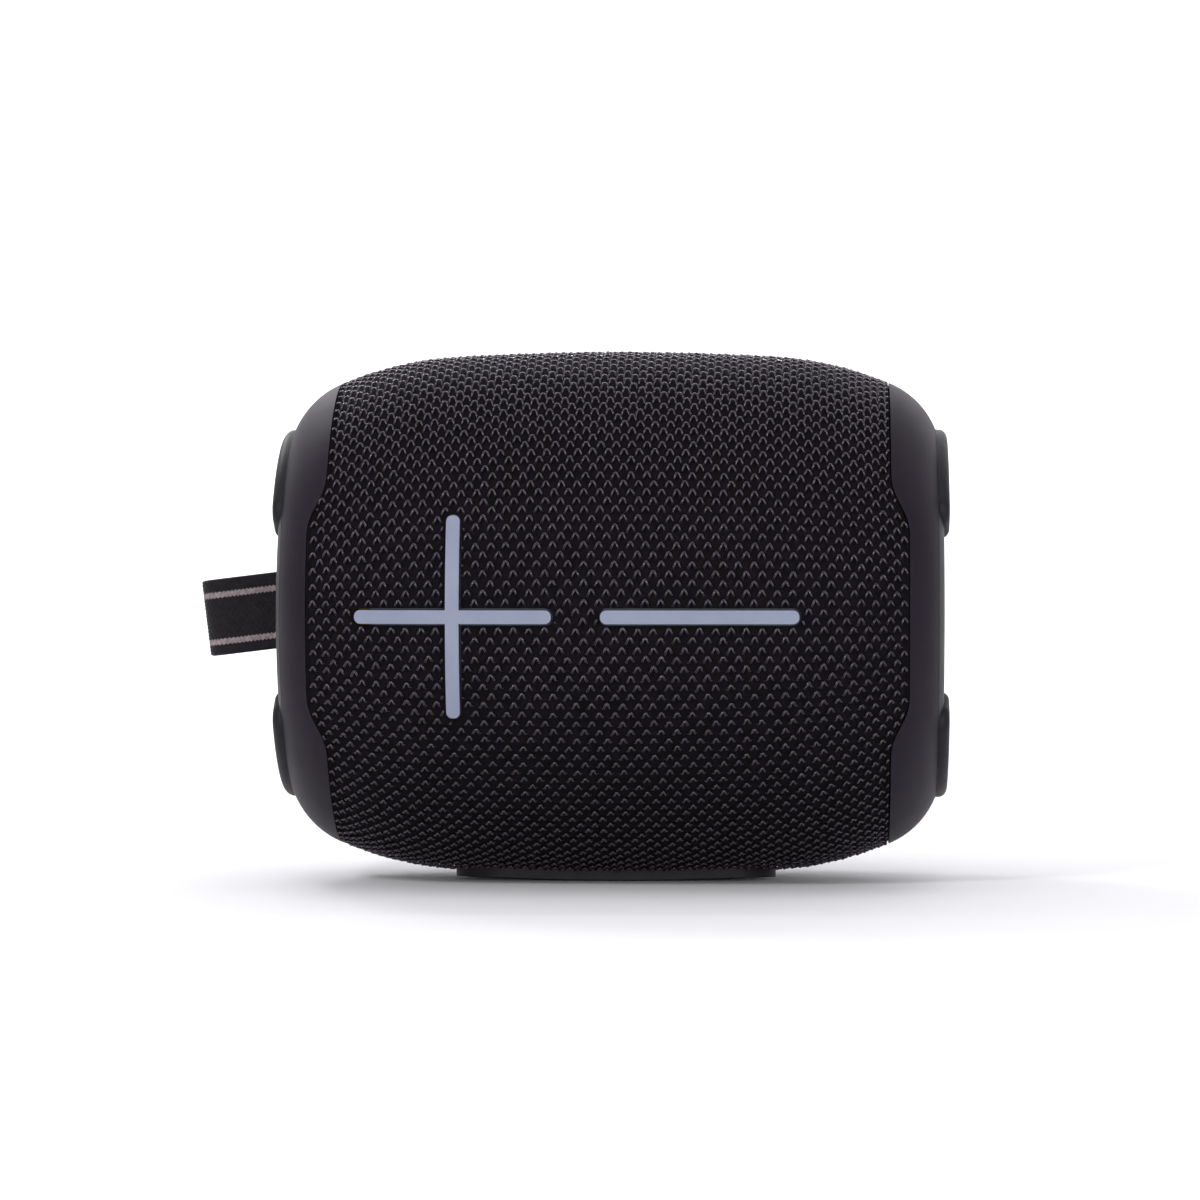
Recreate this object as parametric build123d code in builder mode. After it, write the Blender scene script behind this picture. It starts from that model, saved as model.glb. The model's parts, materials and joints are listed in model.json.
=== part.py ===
from build123d import *
from math import asin, cos, radians, sin, sqrt
import os

os.makedirs("parts", exist_ok=True)

# A small waterproof loudspeaker, a barrel lying on its side. Millimetres. X runs along the barrel, with the
# carry strap at -X. The two volume keys face -Y, and +Z is up. The origin is the middle of the foot's flat
# underside, so the speaker stands on Z = 0.

# Outer shape of the barrel
BODY_RADIUS = 42.2  # fabric surface at mid length
MIDDLE_ARC = 425.0  # long, nearly straight arc of the barrel's side
MIDDLE_REACH = 26.0  # where the long arc gives way to the shoulder
SHOULDER_ARC = 55.0
DOME_ARC = 13.5  # rounding of the end caps
END_X = 52.75  # flat end faces
END_FLAT_RADIUS = 24.8
FOOT_PROUD = 1.0  # fabric's height over the ground
AXIS_HEIGHT = BODY_RADIUS + FOOT_PROUD

# Fabric and its front outline, whose ends bulge towards the caps at mid height
FABRIC = 0.8
FABRIC_REACH = 44.1
BULGE_REACH = 46.95
BULGE_HALF = 12.6
BULGE_END = 22.2
CAP_GAP = 0.15

# Layers under the fabric, each an inset from the outer shape
GRILLE_OUTER = 0.9
GRILLE_INNER = 2.7
GRILLE_SLOT = 22.0
GRILLE_SLOT_WIDTH = 4.0
GRILLE_SLOT_PITCH = 27.0
GRILLE_STEP = 8  # degrees from one row of slots to the next
CHASSIS_OUTER = 6.7
CHASSIS_WALL = 2.2
CHASSIS_REACH = 38.0
GASKET = 1.0
SEAM_GAP = 0.1
CLEAR = 60.0  # longer than any half size, for cuts right through

# End caps, end frames and rubber bumpers
CAP_WALL = 2.0
CAP_RIM_X = 51.72
CAP_RIM_INNER_X = 49.7
BUMPER_RADIUS = 29.8
BUMPER_BACK = 49.5
CAP_BORE = 28.5
FLANGE_INNER = 27.0
FLANGE_OUTER = 34.0
FLANGE_BACK = 46.75
FLANGE_FACE = 47.45
FRAME_BACK = 47.5
FRAME_RADIUS = 28.4
PAD_FACE = 53.6
PAD_INNER = 21.0
PAD_START = 32.0  # degrees above the horizontal where each pad begins
PAD_CORNER = 3.0
PAD_ROUND = 1.4

# Volume keys on the front
KEY_BAR = 2.1
KEY_LENGTH = 30.7
KEY_HEIGHT = 31.5
KEY_PROUD = 0.7
KEY_CORNER = 0.95
PLUS_X = -23.7
MINUS_X = 14.6
KEY_FLANGE_OUTER = 3.0
KEY_FLANGE_INNER = 4.0
KEY_FLANGE_EDGE = 1.5
KEY_GAP = 0.3
KEY_ROOM = 36.5  # the keys' inner faces stay out beyond this over the key board, measured from the axis
KEY_ROOM_HALF = 6.0
KEY_BOARD_LEFT = -36.0
KEY_BOARD_RIGHT = 31.0
KEY_BOARD_HALF = 4.5
KEY_BOARD_BACK = 34.9
KEY_BOARD_FACE = 35.7
KEY_BOARD_PINS = [(-34.0, 0), (29.0, 0)]
KEY_BOSS_RADIUS = 2.2
KEY_BOSS_START = 31.5
SWITCH_SIZE = 5.2
SWITCH_CORNER = 0.5
SWITCH_FACE = 36.4
SWITCH_TOP = 36.8
PLUNGER_RADIUS = 1.5

# Carry strap, its pin and its well in the left end
STRAP_WIDTH = 12.4
WEBBING = 1.3
PIN_X = -50.4
PIN_RADIUS = 1.25
PIN_HALF = 11.0
STRAP_EYE = 3.5  # outer radius of the webbing round the pin
STRAP_TIP_ROUND = 4.2
STRAP_TIP = -66.9
STRAP_DROOP = 7.0
STRAP_LIFT = 1.05  # how far up its pin the strap sits
WELL_HALF_Y = 7.2
WELL_HALF_Z = 8.2
WELL_FLOOR = -45.9
WELL_WALL = 1.2
CHEEK_HALF_Y = 3.0
CHEEK_HEIGHT = 3.0
CHEEK_FACE = -51.9

# Push buttons and status light in the left end
BUTTON_Y = 14.0
BUTTON_RADIUS = 4.5
BUTTON_FACE = -53.25
BUTTON_FLANGE = 5.5
FLANGE_FRONT = -51.0
FLANGE_REAR = -50.2
STEM_RADIUS = 1.5
STEM_END = -46.8
LENS_Z = 14.5
LENS_RADIUS = 1.2

# Charging recess and flap in the right end
RECESS_HALF_Y = 6.5
RECESS_HALF_Z = 4.0
RECESS_WALL = 1.2
RECESS_BACK = 45.8
FLAP_HALF_Y = 6.7
FLAP_HALF_Z = 4.3
FLAP_THICK = 1.6
FLAP_GAP = 0.3
HINGE_X = 51.75
HINGE_Z = 5.1
HINGE_RADIUS = 1.0
TRUNNION_RADIUS = 0.6
TRUNNION_HALF = 8.0
FLAP_TOP = 6.6
SOCKET_WIDTH = 8.94
SOCKET_HEIGHT = 3.26
SOCKET_LENGTH = 7.3
SOCKET_FACE = 46.0
SOCKET_SHELL = 0.3
SOCKET_DEPTH = 6.0
SOCKET_TONGUE_WIDTH = 6.7
SOCKET_TONGUE_THICK = 0.7
SEAL_BACK = 44.4
PORT_BOARD_BACK = 38.6
PORT_BOARD_FACE = 44.2
PORT_BOARD_HALF = 9.0
PORT_BOARD_THICK = 1.0
SHELF_INNER = 6.5
SHELF_THICK = 2.0

# Foot under the barrel
FOOT_LENGTH = 52.0
FOOT_WIDTH = 15.0
FOOT_SWELL = 1.35  # how far the foot's curved sides stand out from the fabric

# Driver at the front and passive radiator at the rear, measured out from the barrel's axis
BAFFLE_FACE = 27.0
BAFFLE_BACK = 25.0
POCKET_RADIUS = 26.0
POCKET_WALL = 2.0
DRIVER_HOLE = 20.5
RADIATOR_HOLE = 22.6
SCREW_CIRCLE = 23.4
RADIATOR_SCREW_CIRCLE = 24.3
CONE_RADIUS = 16.8
COIL_RADIUS = 7.0
MAGNET_RADIUS = 11.5
BASKET_FLANGE = 25.2
GASKET_THICK = 0.6
FLANGE_TOP = 1.8
MOTOR_FACE = -12.2
MAGNET_BACK = -23.0
DUST_CAP_BALL = 18.0
DUST_CAP_RADIUS = 7.6
SPIDER_INNER = COIL_RADIUS + 0.05
SPIDER_OUTER = 12.3
SPIDER_WAVES = 3
SPIDER_LOW = -9.1
SPIDER_HIGH = -8.8
RADIATOR_FLANGE = 25.8
RADIATOR_TOP = 1.4
PLATE_RADIUS = 16.5

# Cell, boards and posts
CELL_RADIUS = 9.2
CELL_LENGTH = 65.0
CELL_Z = -22.0
CELL_CAP = 1.2  # the positive end's raised button
CLAMP_WALL = 1.4
CLAMP_X = 20.0
CLAMP_WIDTH = 8.0
BOARD_Z = 18.0
BOARD_THICK = 1.6
BOARD_HALF_X = 30.0
BOARD_FRONT_Y = -9.0
BOARD_BACK_Y = 18.0
BOARD_POSTS = [(-25, 5), (25, 5), (-25, 14), (25, 14)]
GROMMET_Y = 13.0
GROMMET_Z = 7.0
GROMMET_RADIUS = 2.6
GROMMET_BORE = 0.9
GROMMET_LIP = 3.6
GROMMET_LIP_THICK = 1.0
BUTTON_BOARD_FACE = -44.4
BUTTON_BOARD_THICK = 1.0
LEAD_RADIUS = 0.8
RIBBON = 0.3
RIBBON_WIDTH = 5.0
POST_CIRCLE = 23.5
POST_RADIUS = 2.6
SCREW_HOLE = 0.95
LUG_X = 24.0
LUG_Z = 36.4
LUG_LOW = 33.0
LUG_HIGH = 38.2
LUG_WIDTH = 4.6
LUG_DEEP = 4.0
LUG_Y = 2.5
BOARD_HOLE = 1.05
BOARD_POST_RADIUS = 2.2

BARREL_AXIS = Axis((0, 0, AXIS_HEIGHT), (1, 0, 0))
FRONT = Plane(origin=(0, 0, AXIS_HEIGHT), x_dir=(1, 0, 0), z_dir=(0, -1, 0))
REAR = Plane(origin=(0, 0, AXIS_HEIGHT), x_dir=(-1, 0, 0), z_dir=(0, 1, 0))
RIGHT = Plane(origin=(0, 0, AXIS_HEIGHT), x_dir=(0, 1, 0), z_dir=(1, 0, 0))
LEVEL = Plane(origin=(0, 0, AXIS_HEIGHT), x_dir=(1, 0, 0), z_dir=(0, 0, 1))

middle_turn = asin(MIDDLE_REACH / MIDDLE_ARC)
middle_center_r = BODY_RADIUS - MIDDLE_ARC
shoulder_x = (MIDDLE_ARC - SHOULDER_ARC) * sin(middle_turn)
shoulder_r = middle_center_r + (MIDDLE_ARC - SHOULDER_ARC) * cos(middle_turn)
dome_x = END_X - DOME_ARC


def barrel_radius(x, inset=0.0):
    """Radius of the barrel's surface, moved in by an inset, at a place along the axis."""
    x = abs(x)
    if x <= (MIDDLE_ARC - inset) * sin(middle_turn):
        return middle_center_r + sqrt((MIDDLE_ARC - inset) ** 2 - x**2)
    return shoulder_r + sqrt((SHOULDER_ARC - inset) ** 2 - (x - shoulder_x) ** 2)


def dome_point(x, inset=0.0):
    """A point (x, radius) of an end cap's rounded surface, moved in by an inset."""
    return (x, END_FLAT_RADIUS + sqrt((DOME_ARC - inset) ** 2 - (x - dome_x) ** 2))


def barrel_blank(inset, reach):
    """A solid barrel of the outer shape, moved in by an inset and cut square at both ends."""
    knee = (MIDDLE_ARC - inset) * sin(middle_turn)
    half = (knee + reach) / 2
    knee_r = barrel_radius(knee, inset)
    half_r = barrel_radius(half, inset)
    end_r = barrel_radius(reach, inset)
    with BuildPart() as blank:
        with BuildSketch(FRONT):
            with BuildLine():
                ThreePointArc((-reach, end_r), (-half, half_r), (-knee, knee_r))
                ThreePointArc((-knee, knee_r), (0, barrel_radius(0, inset)), (knee, knee_r))
                ThreePointArc((knee, knee_r), (half, half_r), (reach, end_r))
                Polyline((reach, end_r), (reach, 0), (-reach, 0), (-reach, end_r))
            make_face()
        revolve(axis=BARREL_AXIS)
    return blank.part


def fabric_outline(growth):
    """Front view of the fabric, grown at both ends. Front and rear match."""
    wide = BULGE_REACH + growth
    narrow = FABRIC_REACH + growth
    with BuildSketch(FRONT) as outline:
        with BuildLine() as edge:
            Line((wide, 0), (wide, BULGE_HALF))
            Spline((wide, BULGE_HALF), (narrow, BULGE_END), tangents=[(0, 1), (0, 1)])
            Polyline((narrow, BULGE_END), (narrow, CLEAR), (0, CLEAR))
            mirror(edge.line, about=Plane.XZ)
            mirror(edge.line, about=Plane.YZ)
        make_face()
    return outline.sketch


def key_outline(center_x, bars, growth):
    """Front view of a key, a set of rounded bars (width, height) on one centre."""
    with BuildSketch(FRONT) as outline:
        with Locations((center_x, 0)):
            for width, height in bars:
                RectangleRounded(width + 2 * growth, height + 2 * growth, KEY_CORNER + growth)
    return outline.sketch


def screw(plane, length, radius=SCREW_HOLE, head=1.7, head_height=1.1):
    """A pan-head screw with a cross recess. Its head stands on the plane and its shank goes down from it."""
    slot = head_height / 2
    with BuildPart() as body:
        with BuildSketch(plane):
            Circle(head)
        extrude(amount=head_height)
        chamfer(body.edges().filter_by(GeomType.CIRCLE).sort_by(plane_axis(plane))[-1], slot * 0.6)
        with BuildSketch(plane):
            Circle(radius)
        extrude(amount=-length)
        with BuildSketch(plane.offset(slot)):
            Rectangle(head, head / 5)
            Rectangle(head / 5, head)
        extrude(amount=head_height, mode=Mode.SUBTRACT)
    return body.part


def plane_axis(plane):
    return Axis(plane.origin, plane.z_dir)


def placed(plane, x, y, height):
    """The same plane, moved to a point of its own and along its normal."""
    return Plane(origin=plane.from_local_coords((x, y, height)), x_dir=plane.x_dir, z_dir=plane.z_dir)


def ring_points(radius, count, start):
    """Points spread evenly round a circle, from a start angle in degrees."""
    turns = [radians(start + 360 * i / count) for i in range(count)]
    return [(radius * cos(turn), radius * sin(turn)) for turn in turns]


def block(plane, x, y, low, high):
    """A rectangular block on a plane, from one height to another, over two ranges of local x and y."""
    with BuildPart() as body:
        with BuildSketch(plane.offset(low)):
            with Locations(((x[0] + x[1]) / 2, (y[0] + y[1]) / 2)):
                Rectangle(x[1] - x[0], y[1] - y[0])
        extrude(amount=high - low)
    return body.part


def finish(builder, name):
    builder.part.label = name
    export_step(builder.part, f"parts/{name}.step")


POSTS = ring_points(POST_CIRCLE, 4, 45)
PLUS_BARS = [(KEY_LENGTH, KEY_BAR), (KEY_BAR, KEY_HEIGHT)]
MINUS_BARS = [(KEY_LENGTH, KEY_BAR)]
KEYS = [(PLUS_X, PLUS_BARS), (MINUS_X, MINUS_BARS)]

# ---------------------------------------------------------------- fabric, grille and foot

with BuildSketch(LEVEL) as foot_shape:
    SlotOverall(FOOT_LENGTH, FOOT_WIDTH)
with BuildSketch(LEVEL) as foot_cutout:
    SlotOverall(FOOT_LENGTH + 2 * KEY_GAP, FOOT_WIDTH + 2 * KEY_GAP)

sleeve_outer = barrel_blank(0, BULGE_REACH)
sleeve_inner = barrel_blank(FABRIC, BULGE_REACH + 1)
with BuildPart() as fabric_sleeve:
    add(sleeve_outer)
    add(sleeve_inner, mode=Mode.SUBTRACT)
    extrude(fabric_outline(0), amount=CLEAR, both=True, mode=Mode.INTERSECT)
    for center_x, bars in KEYS:
        extrude(key_outline(center_x, bars, KEY_GAP), amount=CLEAR, mode=Mode.SUBTRACT)
    extrude(foot_cutout.sketch, amount=-CLEAR, mode=Mode.SUBTRACT)
finish(fabric_sleeve, "fabric_sleeve")

foot_blank = barrel_blank(-FOOT_SWELL, CHASSIS_REACH)
with BuildPart() as foot_strip:
    extrude(foot_shape.sketch, amount=-AXIS_HEIGHT)
    add(foot_blank, mode=Mode.INTERSECT)
    add(barrel_blank(GRILLE_OUTER, CHASSIS_REACH), mode=Mode.SUBTRACT)
finish(foot_strip, "foot_strip")


def grille_planes(normal_y, angles, columns):
    """Planes that face out from the barrel's axis, for slots at angles above and below mid height."""
    planes = []
    for angle in angles:
        out = (0, normal_y * cos(radians(angle)), sin(radians(angle)))
        for column in columns:
            origin = (column * GRILLE_SLOT_PITCH, 0, AXIS_HEIGHT)
            planes.append(Plane(origin=origin, x_dir=(1, 0, 0), z_dir=out))
    return planes


grille_outer = barrel_blank(GRILLE_OUTER, BULGE_REACH)
grille_inner = barrel_blank(GRILLE_INNER, BULGE_REACH + 1)
outer_angles = [side * angle for side in (-1, 1) for angle in range(28, 78, GRILLE_STEP)]
front_slots = grille_planes(-1, outer_angles, (-1, 0, 1)) + grille_planes(-1, (-16, 16), (0, 1))
rear_slots = grille_planes(1, range(-76, 78, GRILLE_STEP), (-1, 0, 1))
with BuildPart() as front_grille:
    add(grille_outer)
    add(grille_inner, mode=Mode.SUBTRACT)
    extrude(fabric_outline(-2 * CAP_GAP), amount=CLEAR, both=True, mode=Mode.INTERSECT)
    split(bisect_by=FRONT.offset(SEAM_GAP), keep=Keep.TOP)
    with BuildSketch(*front_slots):
        SlotOverall(GRILLE_SLOT, GRILLE_SLOT_WIDTH)
    extrude(amount=CLEAR, mode=Mode.SUBTRACT)
    for center_x, bars in KEYS:
        extrude(key_outline(center_x, bars, KEY_GAP), amount=CLEAR, mode=Mode.SUBTRACT)
finish(front_grille, "front_grille")

with BuildPart() as rear_grille:
    add(grille_outer)
    add(grille_inner, mode=Mode.SUBTRACT)
    extrude(fabric_outline(-2 * CAP_GAP), amount=CLEAR, both=True, mode=Mode.INTERSECT)
    split(bisect_by=REAR.offset(SEAM_GAP), keep=Keep.TOP)
    with BuildSketch(*rear_slots):
        SlotOverall(GRILLE_SLOT, GRILLE_SLOT_WIDTH)
    extrude(amount=CLEAR, mode=Mode.SUBTRACT)
finish(rear_grille, "rear_grille")

# ---------------------------------------------------------------- volume keys


def volume_key(center_x, bars):
    """A key whose face follows the barrel, with a flange behind the grille that keeps it in."""
    face = barrel_blank(-KEY_PROUD, CHASSIS_REACH + 3)
    behind_face = barrel_blank(KEY_FLANGE_INNER, CHASSIS_REACH + 3)
    flange_face = barrel_blank(KEY_FLANGE_OUTER, CHASSIS_REACH + 3)
    board_room = block(FRONT, (-CLEAR, CLEAR), (-KEY_ROOM_HALF, KEY_ROOM_HALF), 0, KEY_ROOM)
    with BuildPart() as flange:
        extrude(key_outline(center_x, bars, KEY_FLANGE_EDGE), amount=CLEAR)
        add(flange_face, mode=Mode.INTERSECT)
    with BuildPart() as key:
        extrude(key_outline(center_x, bars, 0), amount=CLEAR)
        add(face, mode=Mode.INTERSECT)
        add(flange.part)
        add(behind_face, mode=Mode.SUBTRACT)
        add(board_room, mode=Mode.SUBTRACT)
    return key


plus_key = volume_key(PLUS_X, PLUS_BARS)
finish(plus_key, "plus_key")
minus_key = volume_key(MINUS_X, MINUS_BARS)
finish(minus_key, "minus_key")

board_length = (KEY_BOARD_LEFT, KEY_BOARD_RIGHT)
board_width = (-KEY_BOARD_HALF, KEY_BOARD_HALF)
with BuildPart() as key_board:
    add(block(FRONT, board_length, board_width, KEY_BOARD_BACK, KEY_BOARD_FACE))
    with BuildSketch(FRONT.offset(KEY_BOARD_FACE)):
        with Locations(KEY_BOARD_PINS):
            Circle(BOARD_HOLE)
    extrude(amount=-CLEAR, mode=Mode.SUBTRACT)
finish(key_board, "key_board")

with BuildPart() as key_switches:
    for center_x in (PLUS_X, MINUS_X):
        with BuildSketch(FRONT.offset(KEY_BOARD_FACE)):
            with Locations((center_x, 0)):
                RectangleRounded(SWITCH_SIZE, SWITCH_SIZE, SWITCH_CORNER)
        extrude(amount=SWITCH_FACE - KEY_BOARD_FACE)
        with BuildSketch(FRONT.offset(SWITCH_FACE)):
            with Locations((center_x, 0)):
                Circle(PLUNGER_RADIUS)
        extrude(amount=SWITCH_TOP - SWITCH_FACE)
finish(key_switches, "key_switches")

# ---------------------------------------------------------------- end caps and rubber bumpers

cap_middle = (FABRIC_REACH + CAP_RIM_X) / 2
cap_inner_middle = (FABRIC_REACH + CAP_RIM_INNER_X) / 2
with BuildPart() as right_end_cap:
    with BuildSketch(FRONT):
        with BuildLine():
            edge_x = FABRIC_REACH + CAP_GAP
            outer_end = dome_point(CAP_RIM_X)
            inner_end = dome_point(CAP_RIM_INNER_X, CAP_WALL)
            ThreePointArc(dome_point(edge_x), dome_point(cap_middle), outer_end)
            Line(outer_end, inner_end)
            ThreePointArc(inner_end, dome_point(cap_inner_middle, CAP_WALL), dome_point(edge_x, CAP_WALL))
            Line(dome_point(edge_x, CAP_WALL), dome_point(edge_x))
        make_face()
    revolve(axis=BARREL_AXIS)
    extrude(fabric_outline(CAP_GAP), amount=CLEAR, both=True, mode=Mode.SUBTRACT)
    with BuildSketch(RIGHT.offset(FLANGE_BACK)):
        Circle(FLANGE_OUTER)
        Circle(FLANGE_INNER, mode=Mode.SUBTRACT)
    extrude(amount=FLANGE_FACE - FLANGE_BACK)
    with BuildSketch(RIGHT.offset(FLANGE_FACE)):
        Circle(CAP_BORE)
    extrude(amount=CLEAR, mode=Mode.SUBTRACT)
    with BuildSketch(RIGHT.offset(BUMPER_BACK)):
        Circle(BUMPER_RADIUS + CAP_GAP)
    extrude(amount=CLEAR, mode=Mode.SUBTRACT)
finish(right_end_cap, "right_end_cap")

with BuildPart() as left_end_cap:
    mirror(right_end_cap.part, about=Plane.YZ)
finish(left_end_cap, "left_end_cap")


with BuildPart() as pads:
    with BuildSketch(RIGHT.offset(BUMPER_BACK)) as pad_plan:
        Circle(BUMPER_RADIUS)
        Circle(PAD_INNER, mode=Mode.SUBTRACT)
        # the wedges between the pads, front and rear
        for side in (-1, 1):
            with BuildLine():
                turn = radians(PAD_START)
                wedge = (side * CLEAR * cos(turn), CLEAR * sin(turn))
                Polyline((0, 0), wedge, (wedge[0], -wedge[1]), (0, 0))
            make_face(mode=Mode.SUBTRACT)
        fillet(pad_plan.vertices(), PAD_CORNER)
    extrude(amount=PAD_FACE - BUMPER_BACK)
    fillet(pads.faces().sort_by(Axis.X)[-2:].edges(), PAD_ROUND)

with BuildPart() as bumper_blank:
    with BuildSketch(FRONT):
        with BuildLine():
            rim = dome_point(dome_x + sqrt(DOME_ARC**2 - (BUMPER_RADIUS - END_FLAT_RADIUS) ** 2))
            Polyline((BUMPER_BACK, 0), (END_X, 0), (END_X, END_FLAT_RADIUS))
            ThreePointArc((END_X, END_FLAT_RADIUS), dome_point((END_X + rim[0]) / 2), rim)
            Polyline(rim, (BUMPER_BACK, BUMPER_RADIUS), (BUMPER_BACK, 0))
        make_face()
    revolve(axis=BARREL_AXIS)
    add(pads.part)

BUTTONS = [(-BUTTON_Y, 0), (BUTTON_Y, 0)]
with BuildPart() as left_bumper:
    mirror(bumper_blank.part, about=Plane.YZ)
    well = block(RIGHT, (-WELL_HALF_Y, WELL_HALF_Y), (-WELL_HALF_Z, WELL_HALF_Z), -CLEAR, 0)
    add(well, mode=Mode.SUBTRACT)
    cheek_room = block(
        RIGHT,
        (-CHEEK_HALF_Y - CAP_GAP, CHEEK_HALF_Y + CAP_GAP),
        (-WELL_HALF_Z - CHEEK_HEIGHT - CAP_GAP, WELL_HALF_Z + CHEEK_HEIGHT + CAP_GAP),
        CHEEK_FACE - CAP_GAP,
        0,
    )
    add(cheek_room, mode=Mode.SUBTRACT)
    with BuildSketch(RIGHT):
        with Locations(BUTTONS):
            Circle(BUTTON_RADIUS + 0.25)
        with Locations((0, LENS_Z)):
            Circle(LENS_RADIUS + 0.05)
    extrude(amount=-CLEAR, mode=Mode.SUBTRACT)
    with BuildSketch(RIGHT):
        with Locations(BUTTONS):
            Circle(BUTTON_FLANGE + 0.25)
    extrude(amount=FLANGE_FRONT - 0.2, mode=Mode.SUBTRACT)
finish(left_bumper, "left_bumper")

HINGE_LINE = Plane(origin=(HINGE_X, 0, AXIS_HEIGHT + HINGE_Z), x_dir=(1, 0, 0), z_dir=(0, 1, 0))
with BuildPart() as right_bumper:
    add(bumper_blank.part)
    flap_room = block(
        RIGHT,
        (-FLAP_HALF_Y - FLAP_GAP, FLAP_HALF_Y + FLAP_GAP),
        (-FLAP_HALF_Z - FLAP_GAP, FLAP_TOP),
        0,
        CLEAR,
    )
    add(flap_room, mode=Mode.SUBTRACT)
    with BuildSketch(HINGE_LINE):
        Circle(TRUNNION_RADIUS + 0.1)
    extrude(amount=TRUNNION_HALF + 0.2, both=True, mode=Mode.SUBTRACT)
finish(right_bumper, "right_bumper")

with BuildPart() as port_cover:
    add(block(RIGHT, (-FLAP_HALF_Y, FLAP_HALF_Y), (-FLAP_HALF_Z, HINGE_Z), END_X - FLAP_THICK, END_X))
    with BuildSketch(HINGE_LINE):
        Circle(HINGE_RADIUS)
    extrude(amount=FLAP_HALF_Y, both=True)
    with BuildSketch(HINGE_LINE):
        Circle(TRUNNION_RADIUS)
    extrude(amount=TRUNNION_HALF, both=True)
    with BuildSketch(RIGHT.offset(END_X - FLAP_THICK)):
        with Locations((0, -0.4)):
            RectangleRounded(11, 6.2, 1.5)
    extrude(amount=-0.5)
    # a finger notch along the free edge
    with BuildSketch(RIGHT.offset(END_X)):
        with Locations((0, -FLAP_HALF_Z)):
            SlotOverall(7, 1.6)
    extrude(amount=-0.7, mode=Mode.SUBTRACT)
finish(port_cover, "port_cover")


def push_button():
    """A round button with a keeper flange behind the bumper and a stem that reaches its switch."""
    with BuildPart() as button:
        with BuildSketch(RIGHT.offset(FLANGE_REAR)):
            Circle(BUTTON_RADIUS)
        extrude(amount=BUTTON_FACE - FLANGE_REAR)
        face_edge = button.edges().filter_by(GeomType.CIRCLE).sort_by(Axis.X)[0]
        fillet(face_edge, 0.4)
        with BuildSketch(RIGHT.offset(FLANGE_REAR)):
            Circle(BUTTON_FLANGE)
        extrude(amount=FLANGE_FRONT - FLANGE_REAR)
        with BuildSketch(RIGHT.offset(FLANGE_REAR)):
            Circle(STEM_RADIUS)
        extrude(amount=STEM_END - FLANGE_REAR)
    return button.part


button_blank = push_button()
with BuildPart() as power_button:
    add(button_blank.moved(Location((0, -BUTTON_Y, 0))))
    # a short raised bar marks the power button by touch
    with BuildSketch(RIGHT.offset(BUTTON_FACE)):
        with Locations((-BUTTON_Y, 0)):
            SlotOverall(4.2, 1.1, rotation=90)
    extrude(amount=-0.3)
finish(power_button, "power_button")

with BuildPart() as pair_button:
    add(button_blank.moved(Location((0, BUTTON_Y, 0))))
    # a raised dot marks the pairing button by touch
    with BuildSketch(RIGHT.offset(BUTTON_FACE)):
        with Locations((BUTTON_Y, 0)):
            Circle(0.9)
    extrude(amount=-0.3)
finish(pair_button, "pair_button")

with BuildPart() as status_lens:
    with BuildSketch(RIGHT.offset(-END_X + 0.1)):
        with Locations((0, LENS_Z)):
            Circle(LENS_RADIUS)
    extrude(amount=6.6)
finish(status_lens, "status_lens")

# ---------------------------------------------------------------- end frames, strap and port


def end_frame_blank():
    """The round plate behind a bumper, with holes for the four screws that hold it to the chassis posts."""
    with BuildPart() as frame:
        with BuildSketch(RIGHT.offset(FRAME_BACK)):
            Circle(FRAME_RADIUS)
        extrude(amount=BUMPER_BACK - FRAME_BACK)
        with BuildSketch(RIGHT.offset(BUMPER_BACK)):
            with Locations(POSTS):
                Circle(SCREW_HOLE + 0.15)
        extrude(amount=-10, mode=Mode.SUBTRACT)
        with BuildSketch(RIGHT.offset(BUMPER_BACK)):
            with Locations(POSTS):
                Circle(2.0)
        extrude(amount=-1.2, mode=Mode.SUBTRACT)
    return frame.part


frame_blank = end_frame_blank()
with BuildPart() as left_end_frame:
    mirror(frame_blank, about=Plane.YZ)
    cup_y = WELL_HALF_Y + WELL_WALL
    cup_z = WELL_HALF_Z + WELL_WALL
    add(block(RIGHT, (-cup_y, cup_y), (-cup_z, cup_z), -FRAME_BACK, WELL_FLOOR + WELL_WALL))
    for side in (-1, 1):
        low, high = sorted((side * WELL_HALF_Z, side * (WELL_HALF_Z + CHEEK_HEIGHT)))
        add(block(RIGHT, (-CHEEK_HALF_Y, CHEEK_HALF_Y), (low, high), CHEEK_FACE, -FRAME_BACK))
    well_room = block(
        RIGHT, (-WELL_HALF_Y, WELL_HALF_Y), (-WELL_HALF_Z, WELL_HALF_Z), -CLEAR, WELL_FLOOR
    )
    add(well_room, mode=Mode.SUBTRACT)
    with BuildSketch(Plane.XY.offset(AXIS_HEIGHT)):
        with Locations((PIN_X, 0)):
            Circle(PIN_RADIUS + 0.05)
    extrude(amount=PIN_HALF + CAP_GAP, both=True, mode=Mode.SUBTRACT)
    with BuildSketch(RIGHT):
        with Locations(BUTTONS):
            Circle(STEM_RADIUS + 0.3)
        with Locations((0, LENS_Z)):
            Circle(LENS_RADIUS + 0.05)
    extrude(amount=-CLEAR, mode=Mode.SUBTRACT)
finish(left_end_frame, "left_end_frame")

with BuildPart() as strap_pin:
    with BuildSketch(LEVEL):
        with Locations((PIN_X, 0)):
            Circle(PIN_RADIUS)
    extrude(amount=PIN_HALF, both=True)
finish(strap_pin, "strap_pin")

strap_level = Plane(
    origin=(PIN_X, 0, AXIS_HEIGHT + STRAP_LIFT),
    x_dir=(-cos(radians(STRAP_DROOP)), 0, -sin(radians(STRAP_DROOP))),
    z_dir=(-sin(radians(STRAP_DROOP)), 0, cos(radians(STRAP_DROOP))),
)
strap_run = (PIN_X - STRAP_TIP) / cos(radians(STRAP_DROOP)) - STRAP_TIP_ROUND


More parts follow.
